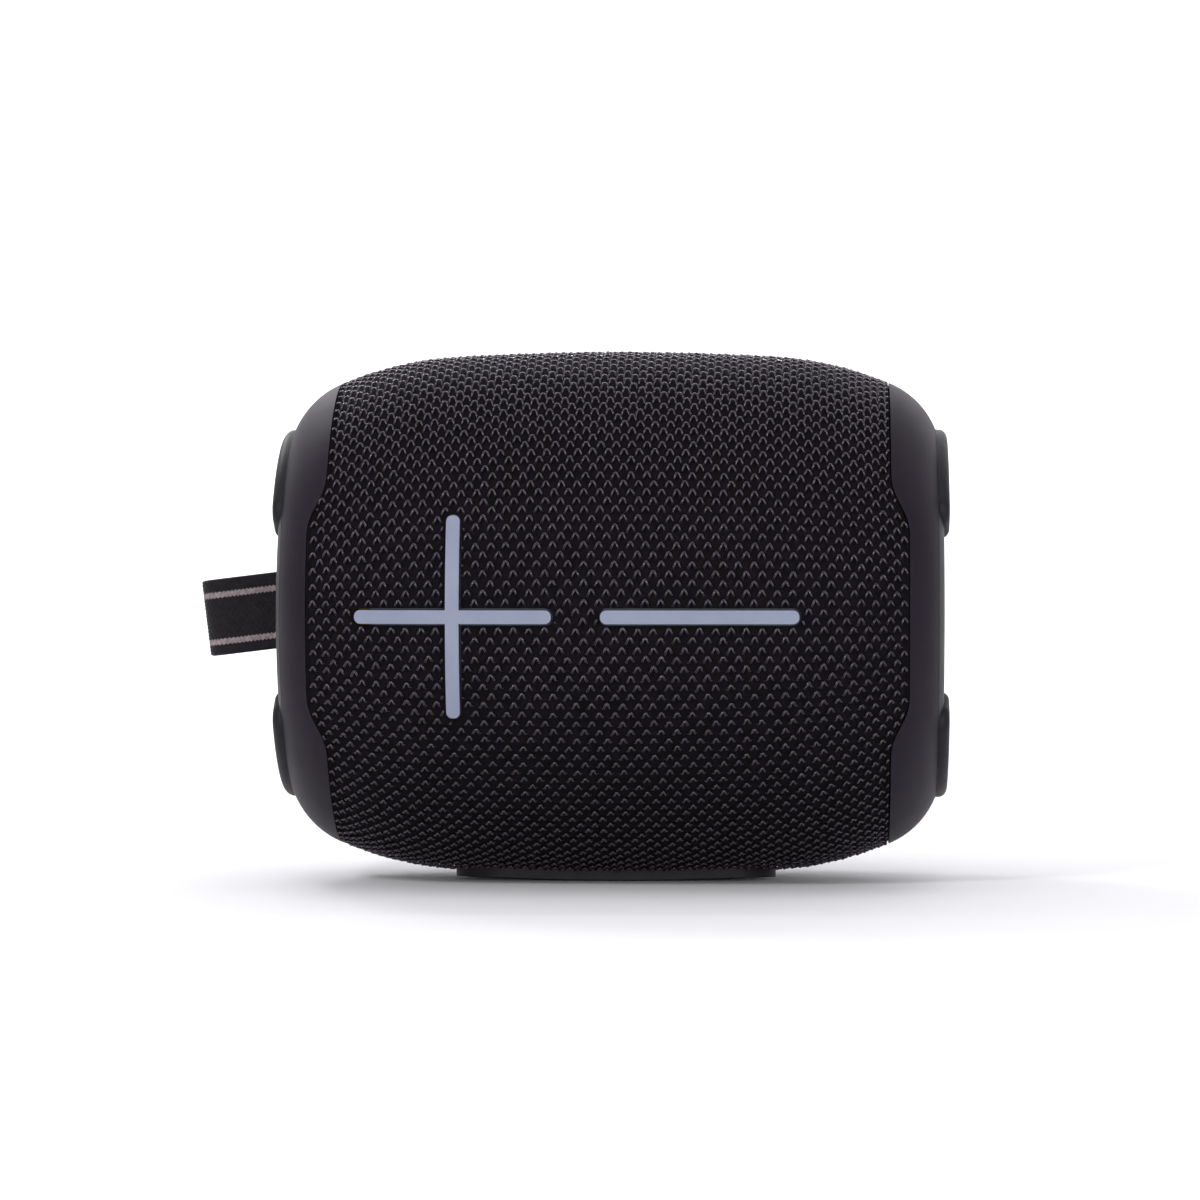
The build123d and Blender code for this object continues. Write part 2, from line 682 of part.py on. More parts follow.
def strap_loop(shrink):
    """The webbing's loop seen along its width: round the pin, out, round the tip and back."""
    with BuildSketch(strap_level) as loop:
        with BuildLine():
            eye = STRAP_EYE - shrink
            tip = STRAP_TIP_ROUND - shrink
            lean = asin((tip - eye) / strap_run)
            eye_top = (-eye * sin(lean), eye * cos(lean))
            tip_top = (strap_run - tip * sin(lean), tip * cos(lean))
            Line(eye_top, tip_top)
            ThreePointArc(tip_top, (strap_run + tip, 0), (tip_top[0], -tip_top[1]))
            Line((tip_top[0], -tip_top[1]), (eye_top[0], -eye_top[1]))
            ThreePointArc((eye_top[0], -eye_top[1]), (-eye, 0), eye_top)
        make_face()
    return loop.sketch


with BuildPart() as carry_strap:
    extrude(strap_loop(0), amount=STRAP_WIDTH / 2, both=True)
    extrude(strap_loop(WEBBING), amount=STRAP_WIDTH, both=True, mode=Mode.SUBTRACT)
finish(carry_strap, "carry_strap")

with BuildPart() as right_end_frame:
    add(frame_blank)
    tunnel_y = RECESS_HALF_Y + RECESS_WALL
    tunnel_z = RECESS_HALF_Z + RECESS_WALL
    add(block(RIGHT, (-tunnel_y, tunnel_y), (-tunnel_z, tunnel_z), RECESS_BACK, FRAME_BACK))
    recess = block(RIGHT, (-RECESS_HALF_Y, RECESS_HALF_Y), (-RECESS_HALF_Z, RECESS_HALF_Z), 0, CLEAR)
    add(recess, mode=Mode.SUBTRACT)
finish(right_end_frame, "right_end_frame")

socket_corner = SOCKET_HEIGHT / 2 - 0.01
with BuildPart() as port_seal:
    add(block(RIGHT, (-tunnel_y, tunnel_y), (-tunnel_z, tunnel_z), SEAL_BACK, RECESS_BACK))
    with BuildSketch(RIGHT):
        RectangleRounded(SOCKET_WIDTH + 0.1, SOCKET_HEIGHT + 0.1, socket_corner)
    extrude(amount=CLEAR, mode=Mode.SUBTRACT)
finish(port_seal, "port_seal")

with BuildPart() as usb_socket:
    with BuildSketch(RIGHT.offset(SOCKET_FACE)):
        RectangleRounded(SOCKET_WIDTH, SOCKET_HEIGHT, socket_corner)
    extrude(amount=-SOCKET_LENGTH)
    with BuildSketch(RIGHT.offset(SOCKET_FACE)):
        bore_width = SOCKET_WIDTH - 2 * SOCKET_SHELL
        bore_height = SOCKET_HEIGHT - 2 * SOCKET_SHELL
        RectangleRounded(bore_width, bore_height, socket_corner - SOCKET_SHELL - 0.01)
    extrude(amount=-SOCKET_DEPTH, mode=Mode.SUBTRACT)
    with BuildSketch(RIGHT.offset(SOCKET_FACE - SOCKET_DEPTH - 0.5)):
        Rectangle(SOCKET_TONGUE_WIDTH, SOCKET_TONGUE_THICK)
    extrude(amount=SOCKET_DEPTH)
finish(usb_socket, "usb_socket")

port_board_top = -SOCKET_HEIGHT / 2 - 0.05
port_board_low = port_board_top - PORT_BOARD_THICK
with BuildPart() as port_board:
    port_board_width = (-PORT_BOARD_HALF, PORT_BOARD_HALF)
    add(block(RIGHT, port_board_width, (port_board_low, port_board_top), PORT_BOARD_BACK, PORT_BOARD_FACE))
finish(port_board, "port_board")

# ---------------------------------------------------------------- chassis

chassis_outer = barrel_blank(CHASSIS_OUTER, CHASSIS_REACH)
chassis_inner = barrel_blank(CHASSIS_OUTER + CHASSIS_WALL, CHASSIS_REACH - CHASSIS_WALL)


def pocket(plane, hole):
    """The sunken flat baffle of a chassis half: a short tube that joins the curved wall, with a floor."""
    with BuildPart() as body:
        with BuildSketch(plane.offset(BAFFLE_BACK)):
            Circle(POCKET_RADIUS + POCKET_WALL)
        extrude(amount=CLEAR)
        add(chassis_outer, mode=Mode.INTERSECT)
        with BuildSketch(plane.offset(BAFFLE_FACE)):
            Circle(POCKET_RADIUS)
        extrude(amount=CLEAR, mode=Mode.SUBTRACT)
        with BuildSketch(plane):
            Circle(hole)
        extrude(amount=CLEAR, mode=Mode.SUBTRACT)
    return body.part


def chassis_half(plane, hole, screw_circle):
    """One half of the sealed box: curved wall, end walls, baffle, lugs and the posts on its end walls."""
    facing = plane.z_dir.Y
    baffle = pocket(plane, hole)
    with BuildPart() as shell:
        add(chassis_outer)
        add(chassis_inner, mode=Mode.SUBTRACT)
        with BuildSketch(plane.offset(BAFFLE_BACK)):
            Circle(POCKET_RADIUS)
        extrude(amount=CLEAR, mode=Mode.SUBTRACT)
        add(baffle)
        with BuildSketch(plane.offset(BAFFLE_FACE)):
            with Locations(ring_points(screw_circle, 4, 45)):
                Circle(SCREW_HOLE)
        extrude(amount=-5, mode=Mode.SUBTRACT)
        for above in (-1, 1):
            with BuildSketch(LEVEL.offset(above * LUG_LOW)):
                with Locations((-LUG_X, LUG_Y * facing), (LUG_X, LUG_Y * facing)):
                    Rectangle(LUG_WIDTH, LUG_DEEP)
            extrude(amount=above * (LUG_HIGH - LUG_LOW))
        with BuildSketch(plane):
            with GridLocations(2 * LUG_X, 2 * LUG_Z, 2, 2):
                Circle(SCREW_HOLE)
        extrude(amount=10, mode=Mode.SUBTRACT)
        for side in (-1, 1):
            wall = side * (CHASSIS_REACH - 1)
            with BuildSketch(RIGHT.offset(wall)):
                with Locations([p for p in POSTS if p[0] * facing > 0]):
                    Circle(POST_RADIUS)
            extrude(amount=side * FRAME_BACK - wall)
            with BuildSketch(RIGHT.offset(side * FRAME_BACK)):
                with Locations([p for p in POSTS if p[0] * facing > 0]):
                    Circle(SCREW_HOLE)
            extrude(amount=-side * 8, mode=Mode.SUBTRACT)
        # a ledge under one side of the port board
        shelf_y = sorted((facing * SHELF_INNER, facing * PORT_BOARD_HALF))
        shelf_z = (port_board_low - SHELF_THICK, port_board_low)
        add(block(RIGHT, shelf_y, shelf_z, CHASSIS_REACH - 1, PORT_BOARD_FACE))
        split(bisect_by=plane.offset(GASKET / 2), keep=Keep.TOP)
    return shell.part


front_half = chassis_half(FRONT, DRIVER_HOLE, SCREW_CIRCLE)
with BuildPart() as front_chassis:
    add(front_half)
    # bosses that carry the two ends of the key board
    with BuildSketch(FRONT.offset(KEY_BOSS_START)):
        with Locations(KEY_BOARD_PINS):
            Circle(KEY_BOSS_RADIUS)
    extrude(amount=KEY_BOARD_BACK - KEY_BOSS_START)
finish(front_chassis, "front_chassis")

rear_half = chassis_half(REAR, RADIATOR_HOLE, RADIATOR_SCREW_CIRCLE)
with BuildPart() as pillars:
    # they hang the main board from the roof
    with BuildSketch(LEVEL.offset(BOARD_Z + BOARD_THICK)):
        with Locations(BOARD_POSTS):
            Circle(BOARD_POST_RADIUS)
    extrude(amount=CLEAR)
    add(chassis_outer, mode=Mode.INTERSECT)

with BuildPart() as rear_chassis:
    add(rear_half)
    add(pillars.part)
    with BuildSketch(LEVEL.offset(BOARD_Z + BOARD_THICK)):
        with Locations(BOARD_POSTS):
            Circle(SCREW_HOLE)
    extrude(amount=6, mode=Mode.SUBTRACT)
    # holes in both end walls for the leads
    with BuildSketch(RIGHT):
        with Locations((GROMMET_Y, GROMMET_Z)):
            Circle(GROMMET_RADIUS)
    extrude(amount=CLEAR, both=True, mode=Mode.SUBTRACT)
finish(rear_chassis, "rear_chassis")

with BuildPart() as chassis_gasket:
    add(chassis_outer)
    add(chassis_inner, mode=Mode.SUBTRACT)
    slab = block(FRONT, (-CLEAR, CLEAR), (-CLEAR, CLEAR), -GASKET / 2, GASKET / 2)
    add(slab, mode=Mode.INTERSECT)
finish(chassis_gasket, "chassis_gasket")

# ---------------------------------------------------------------- driver


FRONT_SECTION = Plane(origin=(0, -BAFFLE_FACE, AXIS_HEIGHT), x_dir=(1, 0, 0), z_dir=(0, 0, -1))
REAR_SECTION = Plane(origin=(0, BAFFLE_FACE, AXIS_HEIGHT), x_dir=(1, 0, 0), z_dir=(0, 0, 1))


def turned(section, points, arcs=None):
    """A turned piece through (radius, height above the baffle's face) points.

    An arc through its middle point replaces the straight line that starts at the numbered point.
    """
    arcs = arcs or {}
    with BuildPart() as body:
        with BuildSketch(section):
            with BuildLine():
                for i, start in enumerate(points):
                    end = points[(i + 1) % len(points)]
                    if i in arcs:
                        ThreePointArc(start, arcs[i], end)
                    else:
                        Line(start, end)
            make_face()
        revolve(axis=Axis(section.origin, section.y_dir))
    return body


with BuildPart() as driver_gasket:
    with BuildSketch(FRONT.offset(BAFFLE_FACE)):
        Circle(BASKET_FLANGE)
        Circle(DRIVER_HOLE + 0.5, mode=Mode.SUBTRACT)
        with Locations(ring_points(SCREW_CIRCLE, 4, 45)):
            Circle(SCREW_HOLE + 0.1, mode=Mode.SUBTRACT)
    extrude(amount=GASKET_THICK)
finish(driver_gasket, "driver_gasket")

basket_points = [
    (19.4, FLANGE_TOP),
    (BASKET_FLANGE, FLANGE_TOP),
    (BASKET_FLANGE, GASKET_THICK),
    (20.2, GASKET_THICK),
    (20.2, -1.5),
    (13.6, -10.5),
    (13.6, MOTOR_FACE),
    (8.4, MOTOR_FACE),
    (8.4, -11.0),
    (12.4, -11.0),
    (12.4, -9.8),
    (13.0, -9.8),
    (19.4, -1.0),
]
basket_shell = turned(FRONT_SECTION, basket_points)
with BuildPart() as driver_basket:
    add(basket_shell.part)
    with BuildSketch(FRONT.offset(BAFFLE_FACE)):
        with Locations(ring_points(SCREW_CIRCLE, 4, 45)):
            Circle(SCREW_HOLE + 0.1)
    extrude(amount=5, mode=Mode.SUBTRACT)
    # four windows through the sloping wall
    for window in (RIGHT, LEVEL):
        with BuildSketch(Plane(origin=RIGHT.origin, x_dir=(0, -1, 0), z_dir=window.z_dir)):
            with Locations((BAFFLE_FACE - 5, 0)):
                RectangleRounded(5, 11, 1)
        extrude(amount=CLEAR, both=True, mode=Mode.SUBTRACT)
finish(driver_basket, "driver_basket")

magnet_points = [
    (0, MAGNET_BACK),
    (MAGNET_RADIUS, MAGNET_BACK),
    (MAGNET_RADIUS, MOTOR_FACE),
    (8.2, MOTOR_FACE),
    (8.2, -20.5),
    (6.1, -20.5),
    (6.1, MOTOR_FACE),
    (0, MOTOR_FACE),
]
driver_magnet = turned(FRONT_SECTION, magnet_points)
finish(driver_magnet, "driver_magnet")

surround_points = [
    (CONE_RADIUS - 1, 1.4),
    (CONE_RADIUS, 1.4),
    (20.4, 1.85),
    (21.4, 1.85),
    (21.4, 2.3),
    (20.4, 2.3),
    (CONE_RADIUS, 1.85),
    (CONE_RADIUS - 1, 1.85),
]
driver_surround = turned(FRONT_SECTION, surround_points, {1: (18.6, 3.1), 5: (18.6, 3.6)})
finish(driver_surround, "driver_surround")

cone_points = [
    (COIL_RADIUS + 0.05, -6.0),
    (CONE_RADIUS, 0.9),
    (CONE_RADIUS, 1.35),
    (CONE_RADIUS - 1, 1.35),
    (COIL_RADIUS + 0.05, -5.3),
]
driver_cone = turned(FRONT_SECTION, cone_points, {0: (12.6, -3.4), 3: (12.2, -2.8)})
finish(driver_cone, "driver_cone")

with BuildPart() as dust_cap:
    with BuildSketch(FRONT_SECTION):
        with Locations((0, -1.6 - DUST_CAP_BALL)):
            Circle(DUST_CAP_BALL)
            Circle(DUST_CAP_BALL - 0.4, mode=Mode.SUBTRACT)
        with Locations((DUST_CAP_RADIUS / 2, 0)):
            Rectangle(DUST_CAP_RADIUS, 10, mode=Mode.INTERSECT)
    revolve(axis=Axis(FRONT_SECTION.origin, FRONT_SECTION.y_dir))
finish(dust_cap, "dust_cap")

coil_points = [
    (COIL_RADIUS - 0.35, -17.0),
    (COIL_RADIUS, -17.0),
    (COIL_RADIUS, -4.8),
    (COIL_RADIUS - 0.35, -4.8),
]
voice_coil = turned(FRONT_SECTION, coil_points)
finish(voice_coil, "voice_coil")

with BuildPart() as spider:
    pitch = (SPIDER_OUTER - SPIDER_INNER) / SPIDER_WAVES
    with BuildSketch(FRONT_SECTION):
        with BuildLine():
            for i in range(SPIDER_WAVES):
                start = SPIDER_INNER + i * pitch
                rise = 0.5 if i % 2 == 0 else -0.5
                for height in (SPIDER_LOW, SPIDER_HIGH):
                    crest = (start + pitch / 2, height + rise)
                    ThreePointArc((start, height), crest, (start + pitch, height))
            for radius in (SPIDER_INNER, SPIDER_OUTER):
                Line((radius, SPIDER_LOW), (radius, SPIDER_HIGH))
        make_face()
    revolve(axis=Axis(FRONT_SECTION.origin, FRONT_SECTION.y_dir))
finish(spider, "spider")

with BuildPart() as driver_screws:
    for x, y in ring_points(SCREW_CIRCLE, 4, 45):
        add(screw(placed(FRONT, x, y, BAFFLE_FACE + FLANGE_TOP), 6, head=1.5))
finish(driver_screws, "driver_screws")

# ---------------------------------------------------------------- passive radiator

with BuildPart() as radiator_frame:
    with BuildSketch(REAR.offset(BAFFLE_FACE)):
        Circle(RADIATOR_FLANGE)
        Circle(21.8, mode=Mode.SUBTRACT)
        with Locations(ring_points(RADIATOR_SCREW_CIRCLE, 4, 45)):
            Circle(SCREW_HOLE + 0.1, mode=Mode.SUBTRACT)
    extrude(amount=RADIATOR_TOP)
finish(radiator_frame, "radiator_frame")

roll_points = [
    (PLATE_RADIUS - 1, 2.2),
    (PLATE_RADIUS, 2.2),
    (21.6, 1.45),
    (22.7, 1.45),
    (22.7, 1.95),
    (21.6, 1.95),
    (PLATE_RADIUS, 2.7),
    (PLATE_RADIUS - 1, 2.7),
]
radiator_surround = turned(REAR_SECTION, roll_points, {1: (19.2, 4.2), 5: (19.2, 4.8)})
finish(radiator_surround, "radiator_surround")

plate_points = [(0, 0.6), (PLATE_RADIUS - 0.3, 0.6), (PLATE_RADIUS, 0.9), (PLATE_RADIUS, 2.15), (0, 2.15)]
radiator_plate = turned(REAR_SECTION, plate_points)
finish(radiator_plate, "radiator_plate")

weight_points = [(0, -3.4), (11.5, -3.4), (12, -2.9), (12, 0.6), (0, 0.6)]
radiator_weight = turned(REAR_SECTION, weight_points)
finish(radiator_weight, "radiator_weight")

with BuildPart() as radiator_screws:
    for x, y in ring_points(RADIATOR_SCREW_CIRCLE, 4, 45):
        add(screw(placed(REAR, x, y, BAFFLE_FACE + RADIATOR_TOP), 5.5, head=1.4))
finish(radiator_screws, "radiator_screws")

# ---------------------------------------------------------------- cell, boards and leads

with BuildPart() as battery_cell:
    with BuildSketch(RIGHT.offset(-CELL_LENGTH / 2)):
        with Locations((0, CELL_Z)):
            Circle(CELL_RADIUS)
    extrude(amount=CELL_LENGTH - CELL_CAP)
    with BuildSketch(RIGHT.offset(CELL_LENGTH / 2 - CELL_CAP)):
        with Locations((0, CELL_Z)):
            Circle(3.2)
    extrude(amount=CELL_CAP)
    end_edges = battery_cell.edges().filter_by(GeomType.CIRCLE).filter_by(lambda e: e.radius > 9)
    fillet(end_edges, 0.6)
finish(battery_cell, "battery_cell")

with BuildPart() as battery_clamps:
    clamp_bore = CELL_RADIUS + SEAM_GAP
    for center_x in (-CLAMP_X, CLAMP_X):
        with BuildSketch(RIGHT.offset(center_x - CLAMP_WIDTH / 2)):
            with Locations((0, CELL_Z)):
                Circle(clamp_bore + CLAMP_WALL)
            with Locations((0, CELL_Z - 4.2)):
                Rectangle(2 * (clamp_bore + CLAMP_WALL), 8.4)
            with Locations((0, CELL_Z)):
                Circle(clamp_bore, mode=Mode.SUBTRACT)
            with Locations((0, CELL_Z - CLEAR / 2)):
                Rectangle(2 * clamp_bore, CLEAR, mode=Mode.SUBTRACT)
        extrude(amount=CLAMP_WIDTH)
finish(battery_clamps, "battery_clamps")

with BuildPart() as main_board:
    board_x = (-BOARD_HALF_X, BOARD_HALF_X)
    board_y = (BOARD_FRONT_Y, BOARD_BACK_Y)
    add(block(LEVEL, board_x, board_y, BOARD_Z, BOARD_Z + BOARD_THICK))
    with BuildSketch(LEVEL):
        with Locations(BOARD_POSTS):
            Circle(BOARD_HOLE)
    extrude(amount=CLEAR, mode=Mode.SUBTRACT)
finish(main_board, "main_board")

CHIPS = [(-13, 8, 15, 12, 2.2), (4, 10, 7, 7, 1.0), (14, 4, 5, 5, 1.6), (14, 12, 5, 5, 1.6), (3, -1, 6, 5, 1.0)]
CAPACITORS = [(-18, -4, 2.5, 6), (-11, -4, 2.5, 6), (20, -3, 3.1, 7)]
CONNECTORS = [(-27, -1.5, 4, 6, 3.5), (27, -1.5, 4, 6, 3.5)]
with BuildPart() as board_components:
    for x, y, wide, deep, tall in CHIPS + CONNECTORS:
        with BuildSketch(LEVEL.offset(BOARD_Z + BOARD_THICK)):
            with Locations((x, y)):
                Rectangle(wide, deep)
        extrude(amount=tall)
    for x, y, radius, tall in CAPACITORS:
        with BuildSketch(LEVEL.offset(BOARD_Z + BOARD_THICK)):
            with Locations((x, y)):
                Circle(radius)
        extrude(amount=tall)
finish(board_components, "board_components")

with BuildPart() as board_screws:
    underside = Plane(origin=(0, 0, AXIS_HEIGHT), x_dir=(1, 0, 0), z_dir=(0, 0, -1))
    for x, y in BOARD_POSTS:
        add(screw(placed(underside, x, -y, -BOARD_Z), 6.5, head=1.6))
finish(board_screws, "board_screws")

button_board_back = BUTTON_BOARD_FACE + BUTTON_BOARD_THICK
with BuildPart() as button_board:
    add(block(RIGHT, (-19.5, 19.5), (-11, 11.5), BUTTON_BOARD_FACE, button_board_back))
    # a tongue that carries the status light
    add(block(RIGHT, (-7, 7), (11.5, LENS_Z + 3), BUTTON_BOARD_FACE, button_board_back))
finish(button_board, "button_board")

with BuildPart() as button_switches:
    with BuildSketch(RIGHT.offset(BUTTON_BOARD_FACE)):
        with Locations(BUTTONS):
            RectangleRounded(SWITCH_SIZE, SWITCH_SIZE, SWITCH_CORNER)
    extrude(amount=-1.0)
    with BuildSketch(RIGHT.offset(BUTTON_BOARD_FACE - 1.0)):
        with Locations(BUTTONS):
            Circle(1.4)
    extrude(amount=-0.6)
finish(button_switches, "button_switches")

with BuildPart() as status_led:
    add(block(RIGHT, (-1, 1), (LENS_Z - 0.6, LENS_Z + 0.6), BUTTON_BOARD_FACE - 0.8, BUTTON_BOARD_FACE))
finish(status_led, "status_led")

SCREW_SEAT = BUMPER_BACK - 1.2
for side, name in ((-1, "left_end_screws"), (1, "right_end_screws")):
    seat = Plane(origin=(side * SCREW_SEAT, 0, AXIS_HEIGHT), x_dir=(0, side, 0), z_dir=(side, 0, 0))
    with BuildPart() as end_screws:
        for x, y in POSTS:
            add(screw(placed(seat, x, y, 0), 8))
    finish(end_screws, name)

with BuildPart() as chassis_screws:
    for x in (-LUG_X, LUG_X):
        for z in (-LUG_Z, LUG_Z):
            add(screw(placed(REAR, x, z, 4.5), 8.5, head=1.6))
finish(chassis_screws, "chassis_screws")

with BuildPart() as wire_grommets:
    for side in (-1, 1):
        with BuildSketch(RIGHT.offset(side * (CHASSIS_REACH - CHASSIS_WALL))):
            with Locations((GROMMET_Y, GROMMET_Z)):
                Circle(GROMMET_RADIUS)
                Circle(GROMMET_BORE, mode=Mode.SUBTRACT)
        extrude(amount=side * CHASSIS_WALL)
        with BuildSketch(RIGHT.offset(side * CHASSIS_REACH)):
            with Locations((GROMMET_Y, GROMMET_Z)):
                Circle(GROMMET_LIP)
                Circle(GROMMET_BORE, mode=Mode.SUBTRACT)
        extrude(amount=side * GROMMET_LIP_THICK)
finish(wire_grommets, "wire_grommets")


def lead(points, radii):
    """A round lead along straight runs joined by tangent arcs. Heights are measured from the barrel's axis."""
    route = [(x, y, AXIS_HEIGHT + z) for x, y, z in points]
    with BuildPart() as wire:
        with BuildLine() as path:
            FilletPolyline(*route, radius=radii)
        with BuildSketch(Plane(origin=path.line @ 0, z_dir=path.line % 0)):
            Circle(LEAD_RADIUS)
        sweep()
    return wire


PLUG_Z = BOARD_Z + BOARD_THICK + 1.8
CONNECTOR_Y = -1.5
WELL_OF_LEADS = 32.9  # between the cell's end and the end wall


def side_lead(side):
    """From an end board through the grommet, up past the main board's end and into its connector."""
    return lead(
        [
            (side * 43.3, GROMMET_Y, GROMMET_Z),
            (side * WELL_OF_LEADS, GROMMET_Y, GROMMET_Z),
            (side * WELL_OF_LEADS, CONNECTOR_Y, PLUG_Z),
            (side * 29.05, CONNECTOR_Y, PLUG_Z),
        ],
        3,
    )


control_lead = side_lead(-1)
finish(control_lead, "control_lead")
power_lead = side_lead(1)
finish(power_lead, "power_lead")
battery_lead = lead([(33.6, 0, -22), (33.6, -7, -10), (31.5, -8, 4), (27, -8, 16.2)], 5)
finish(battery_lead, "battery_lead")
driver_lead = lead([(0, -15.5, 15), (0, -11, 15), (0, -6, 16.9)], 5)
finish(driver_lead, "driver_lead")

with BuildPart() as key_ribbon:
    with BuildLine(LEVEL.offset(-RIBBON_WIDTH / 2)):
        ribbon_path = FilletPolyline((-36.4, -34.2), (-39.4, -33.6), (-43.0, -26), (-43.0, -15), radius=3)
    with BuildSketch(Plane(origin=ribbon_path @ 0, x_dir=(0, 0, 1), z_dir=ribbon_path % 0)):
        with Locations((RIBBON_WIDTH / 2, 0)):
            Rectangle(RIBBON_WIDTH, RIBBON)
    sweep()
finish(key_ribbon, "key_ribbon")
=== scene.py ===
import json
import math

import bpy
import numpy as np
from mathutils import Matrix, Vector


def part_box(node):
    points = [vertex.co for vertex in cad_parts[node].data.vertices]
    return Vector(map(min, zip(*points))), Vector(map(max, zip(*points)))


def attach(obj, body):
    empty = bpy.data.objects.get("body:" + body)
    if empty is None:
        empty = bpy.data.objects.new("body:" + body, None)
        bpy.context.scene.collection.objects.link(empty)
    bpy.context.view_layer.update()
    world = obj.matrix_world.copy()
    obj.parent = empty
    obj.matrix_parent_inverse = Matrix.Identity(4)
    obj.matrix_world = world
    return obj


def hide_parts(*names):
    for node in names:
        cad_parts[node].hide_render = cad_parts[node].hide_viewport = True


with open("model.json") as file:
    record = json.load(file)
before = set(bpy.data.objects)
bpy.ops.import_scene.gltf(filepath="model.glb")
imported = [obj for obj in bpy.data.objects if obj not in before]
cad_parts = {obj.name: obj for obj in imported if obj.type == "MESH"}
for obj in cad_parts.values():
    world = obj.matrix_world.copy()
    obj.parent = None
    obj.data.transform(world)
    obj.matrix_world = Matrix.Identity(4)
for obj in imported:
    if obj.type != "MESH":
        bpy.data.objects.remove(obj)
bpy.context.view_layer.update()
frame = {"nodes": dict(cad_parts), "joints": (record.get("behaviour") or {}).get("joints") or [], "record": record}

MM = 0.001

# The barrel's outer shape, the same arcs as the CAD model's, in millimetres
BODY_RADIUS = 42.2
MIDDLE_ARC = 425.0
MIDDLE_REACH = 26.0
SHOULDER_ARC = 55.0
FABRIC_REACH = 44.1
BULGE_REACH = 46.95
BULGE_HALF = 12.6
BULGE_END = 22.2
KEY_BAR = 2.1
KEY_LENGTH = 30.7
KEY_HEIGHT = 31.5
FOOT_LENGTH = 52.0
FOOT_WIDTH = 15.0

joints = {joint["name"]: joint for joint in frame["joints"]}
AXIS_Z = joints["strap_swing"]["pos_m"][2] / MM
PIN_X = joints["strap_swing"]["pos_m"][0] / MM

# The plus key's flange runs out on its right side only, so its middle comes from its left end.
PLUS_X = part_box("plus_key")[0].x / MM + KEY_LENGTH / 2
minus_low, minus_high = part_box("minus_key")
MINUS_X = (minus_low.x + minus_high.x) / 2 / MM


# ---------------------------------------------------------------- camera, lights and floor

CAMERA_DISTANCE = 0.813
CAMERA_TURN = math.radians(2.3)
CAMERA_RISE = math.radians(0.9)
CAMERA_LENS = 150
CAMERA_SENSOR = 36
CAMERA_SHIFT = (-0.01333, 0.01083)


def make_camera():
    data = bpy.data.cameras.new("camera")
    data.lens = CAMERA_LENS
    data.sensor_width = CAMERA_SENSOR
    data.shift_x, data.shift_y = CAMERA_SHIFT
    camera = bpy.data.objects.new("camera", data)
    bpy.context.scene.collection.objects.link(camera)
    target = Vector((0, 0, AXIS_Z * MM))
    back = Vector(
        (
            math.sin(CAMERA_TURN) * math.cos(CAMERA_RISE),
            -math.cos(CAMERA_TURN) * math.cos(CAMERA_RISE),
            math.sin(CAMERA_RISE),
        )
    )
    camera.location = target + back * CAMERA_DISTANCE
    camera.rotation_euler = (-back).to_track_quat("-Z", "Y").to_euler()
    bpy.context.scene.camera = camera


def area_light(name, place, aim, size, power):
    data = bpy.data.lights.new(name, "AREA")
    data.shape = "RECTANGLE"
    data.size, data.size_y = size
    data.energy = power
    light = bpy.data.objects.new(name, data)
    light.location = place
    direction = Vector(aim) - Vector(place)
    light.rotation_euler = direction.to_track_quat("-Z", "Y").to_euler()
    bpy.context.scene.collection.objects.link(light)


def make_lights():
    middle = (0, 0, AXIS_Z * MM)
    area_light("overhead", (0.0, -0.10, 0.8), middle, (0.5, 0.4), 0.6)
    area_light("key_left", (-0.34, -0.60, 0.42), middle, (0.11, 0.11), 1.9)
    area_light("key_right", (0.42, -0.66, 0.20), middle, (0.11, 0.11), 1.1)
    area_light("low_front", (0.05, -0.75, 0.03), middle, (0.5, 0.05), 1.4)
    area_light("rim_left", (-0.35, 0.55, 0.55), middle, (0.15, 0.15), 1.2)
    area_light("backdrop_wash", (0.0, 1.0, 1.6), (0, 2.2, 0.6), (3.0, 0.8), 45.0)
    world = bpy.data.worlds.new("studio")
    world.use_nodes = True
    world.node_tree.nodes["Background"].inputs["Color"].default_value = (0.97, 0.96, 1, 1)
    world.node_tree.nodes["Background"].inputs["Strength"].default_value = 0.62
    bpy.context.scene.world = world
    bpy.context.scene.view_settings.view_transform = "Standard"


def make_floor():
    """A pale floor that rises into a backdrop behind the speaker in one smooth curve."""
    half = 3.0
    bend = 0.8
    back = 2.0
    front = -2.0
    top = 3.0
    steps = 12
    profile = [(front, 0.0), (back - bend, 0.0)]
    for i in range(1, steps + 1):
        turn = math.radians(90 * i / steps)
        profile.append((back - bend + bend * math.sin(turn), bend - bend * math.cos(turn)))
    profile.append((back, top))
    verts = [(side * half, y, z) for y, z in profile for side in (-1, 1)]
    faces = [(2 * i, 2 * i + 1, 2 * i + 3, 2 * i + 2) for i in range(len(profile) - 1)]
    mesh = bpy.data.meshes.new("floor")
    mesh.from_pydata(verts, [], faces)
    mesh.shade_smooth()
    floor = bpy.data.objects.new("floor", mesh)
    bpy.context.scene.collection.objects.link(floor)
    build = Material("floor_white", roughness=0.8)
    build.color((0.885, 0.885, 0.905), (0.90, 0.90, 0.915), scale=30, detail=4)
    floor.data.materials.append(build.material)


# ---------------------------------------------------------------- materials


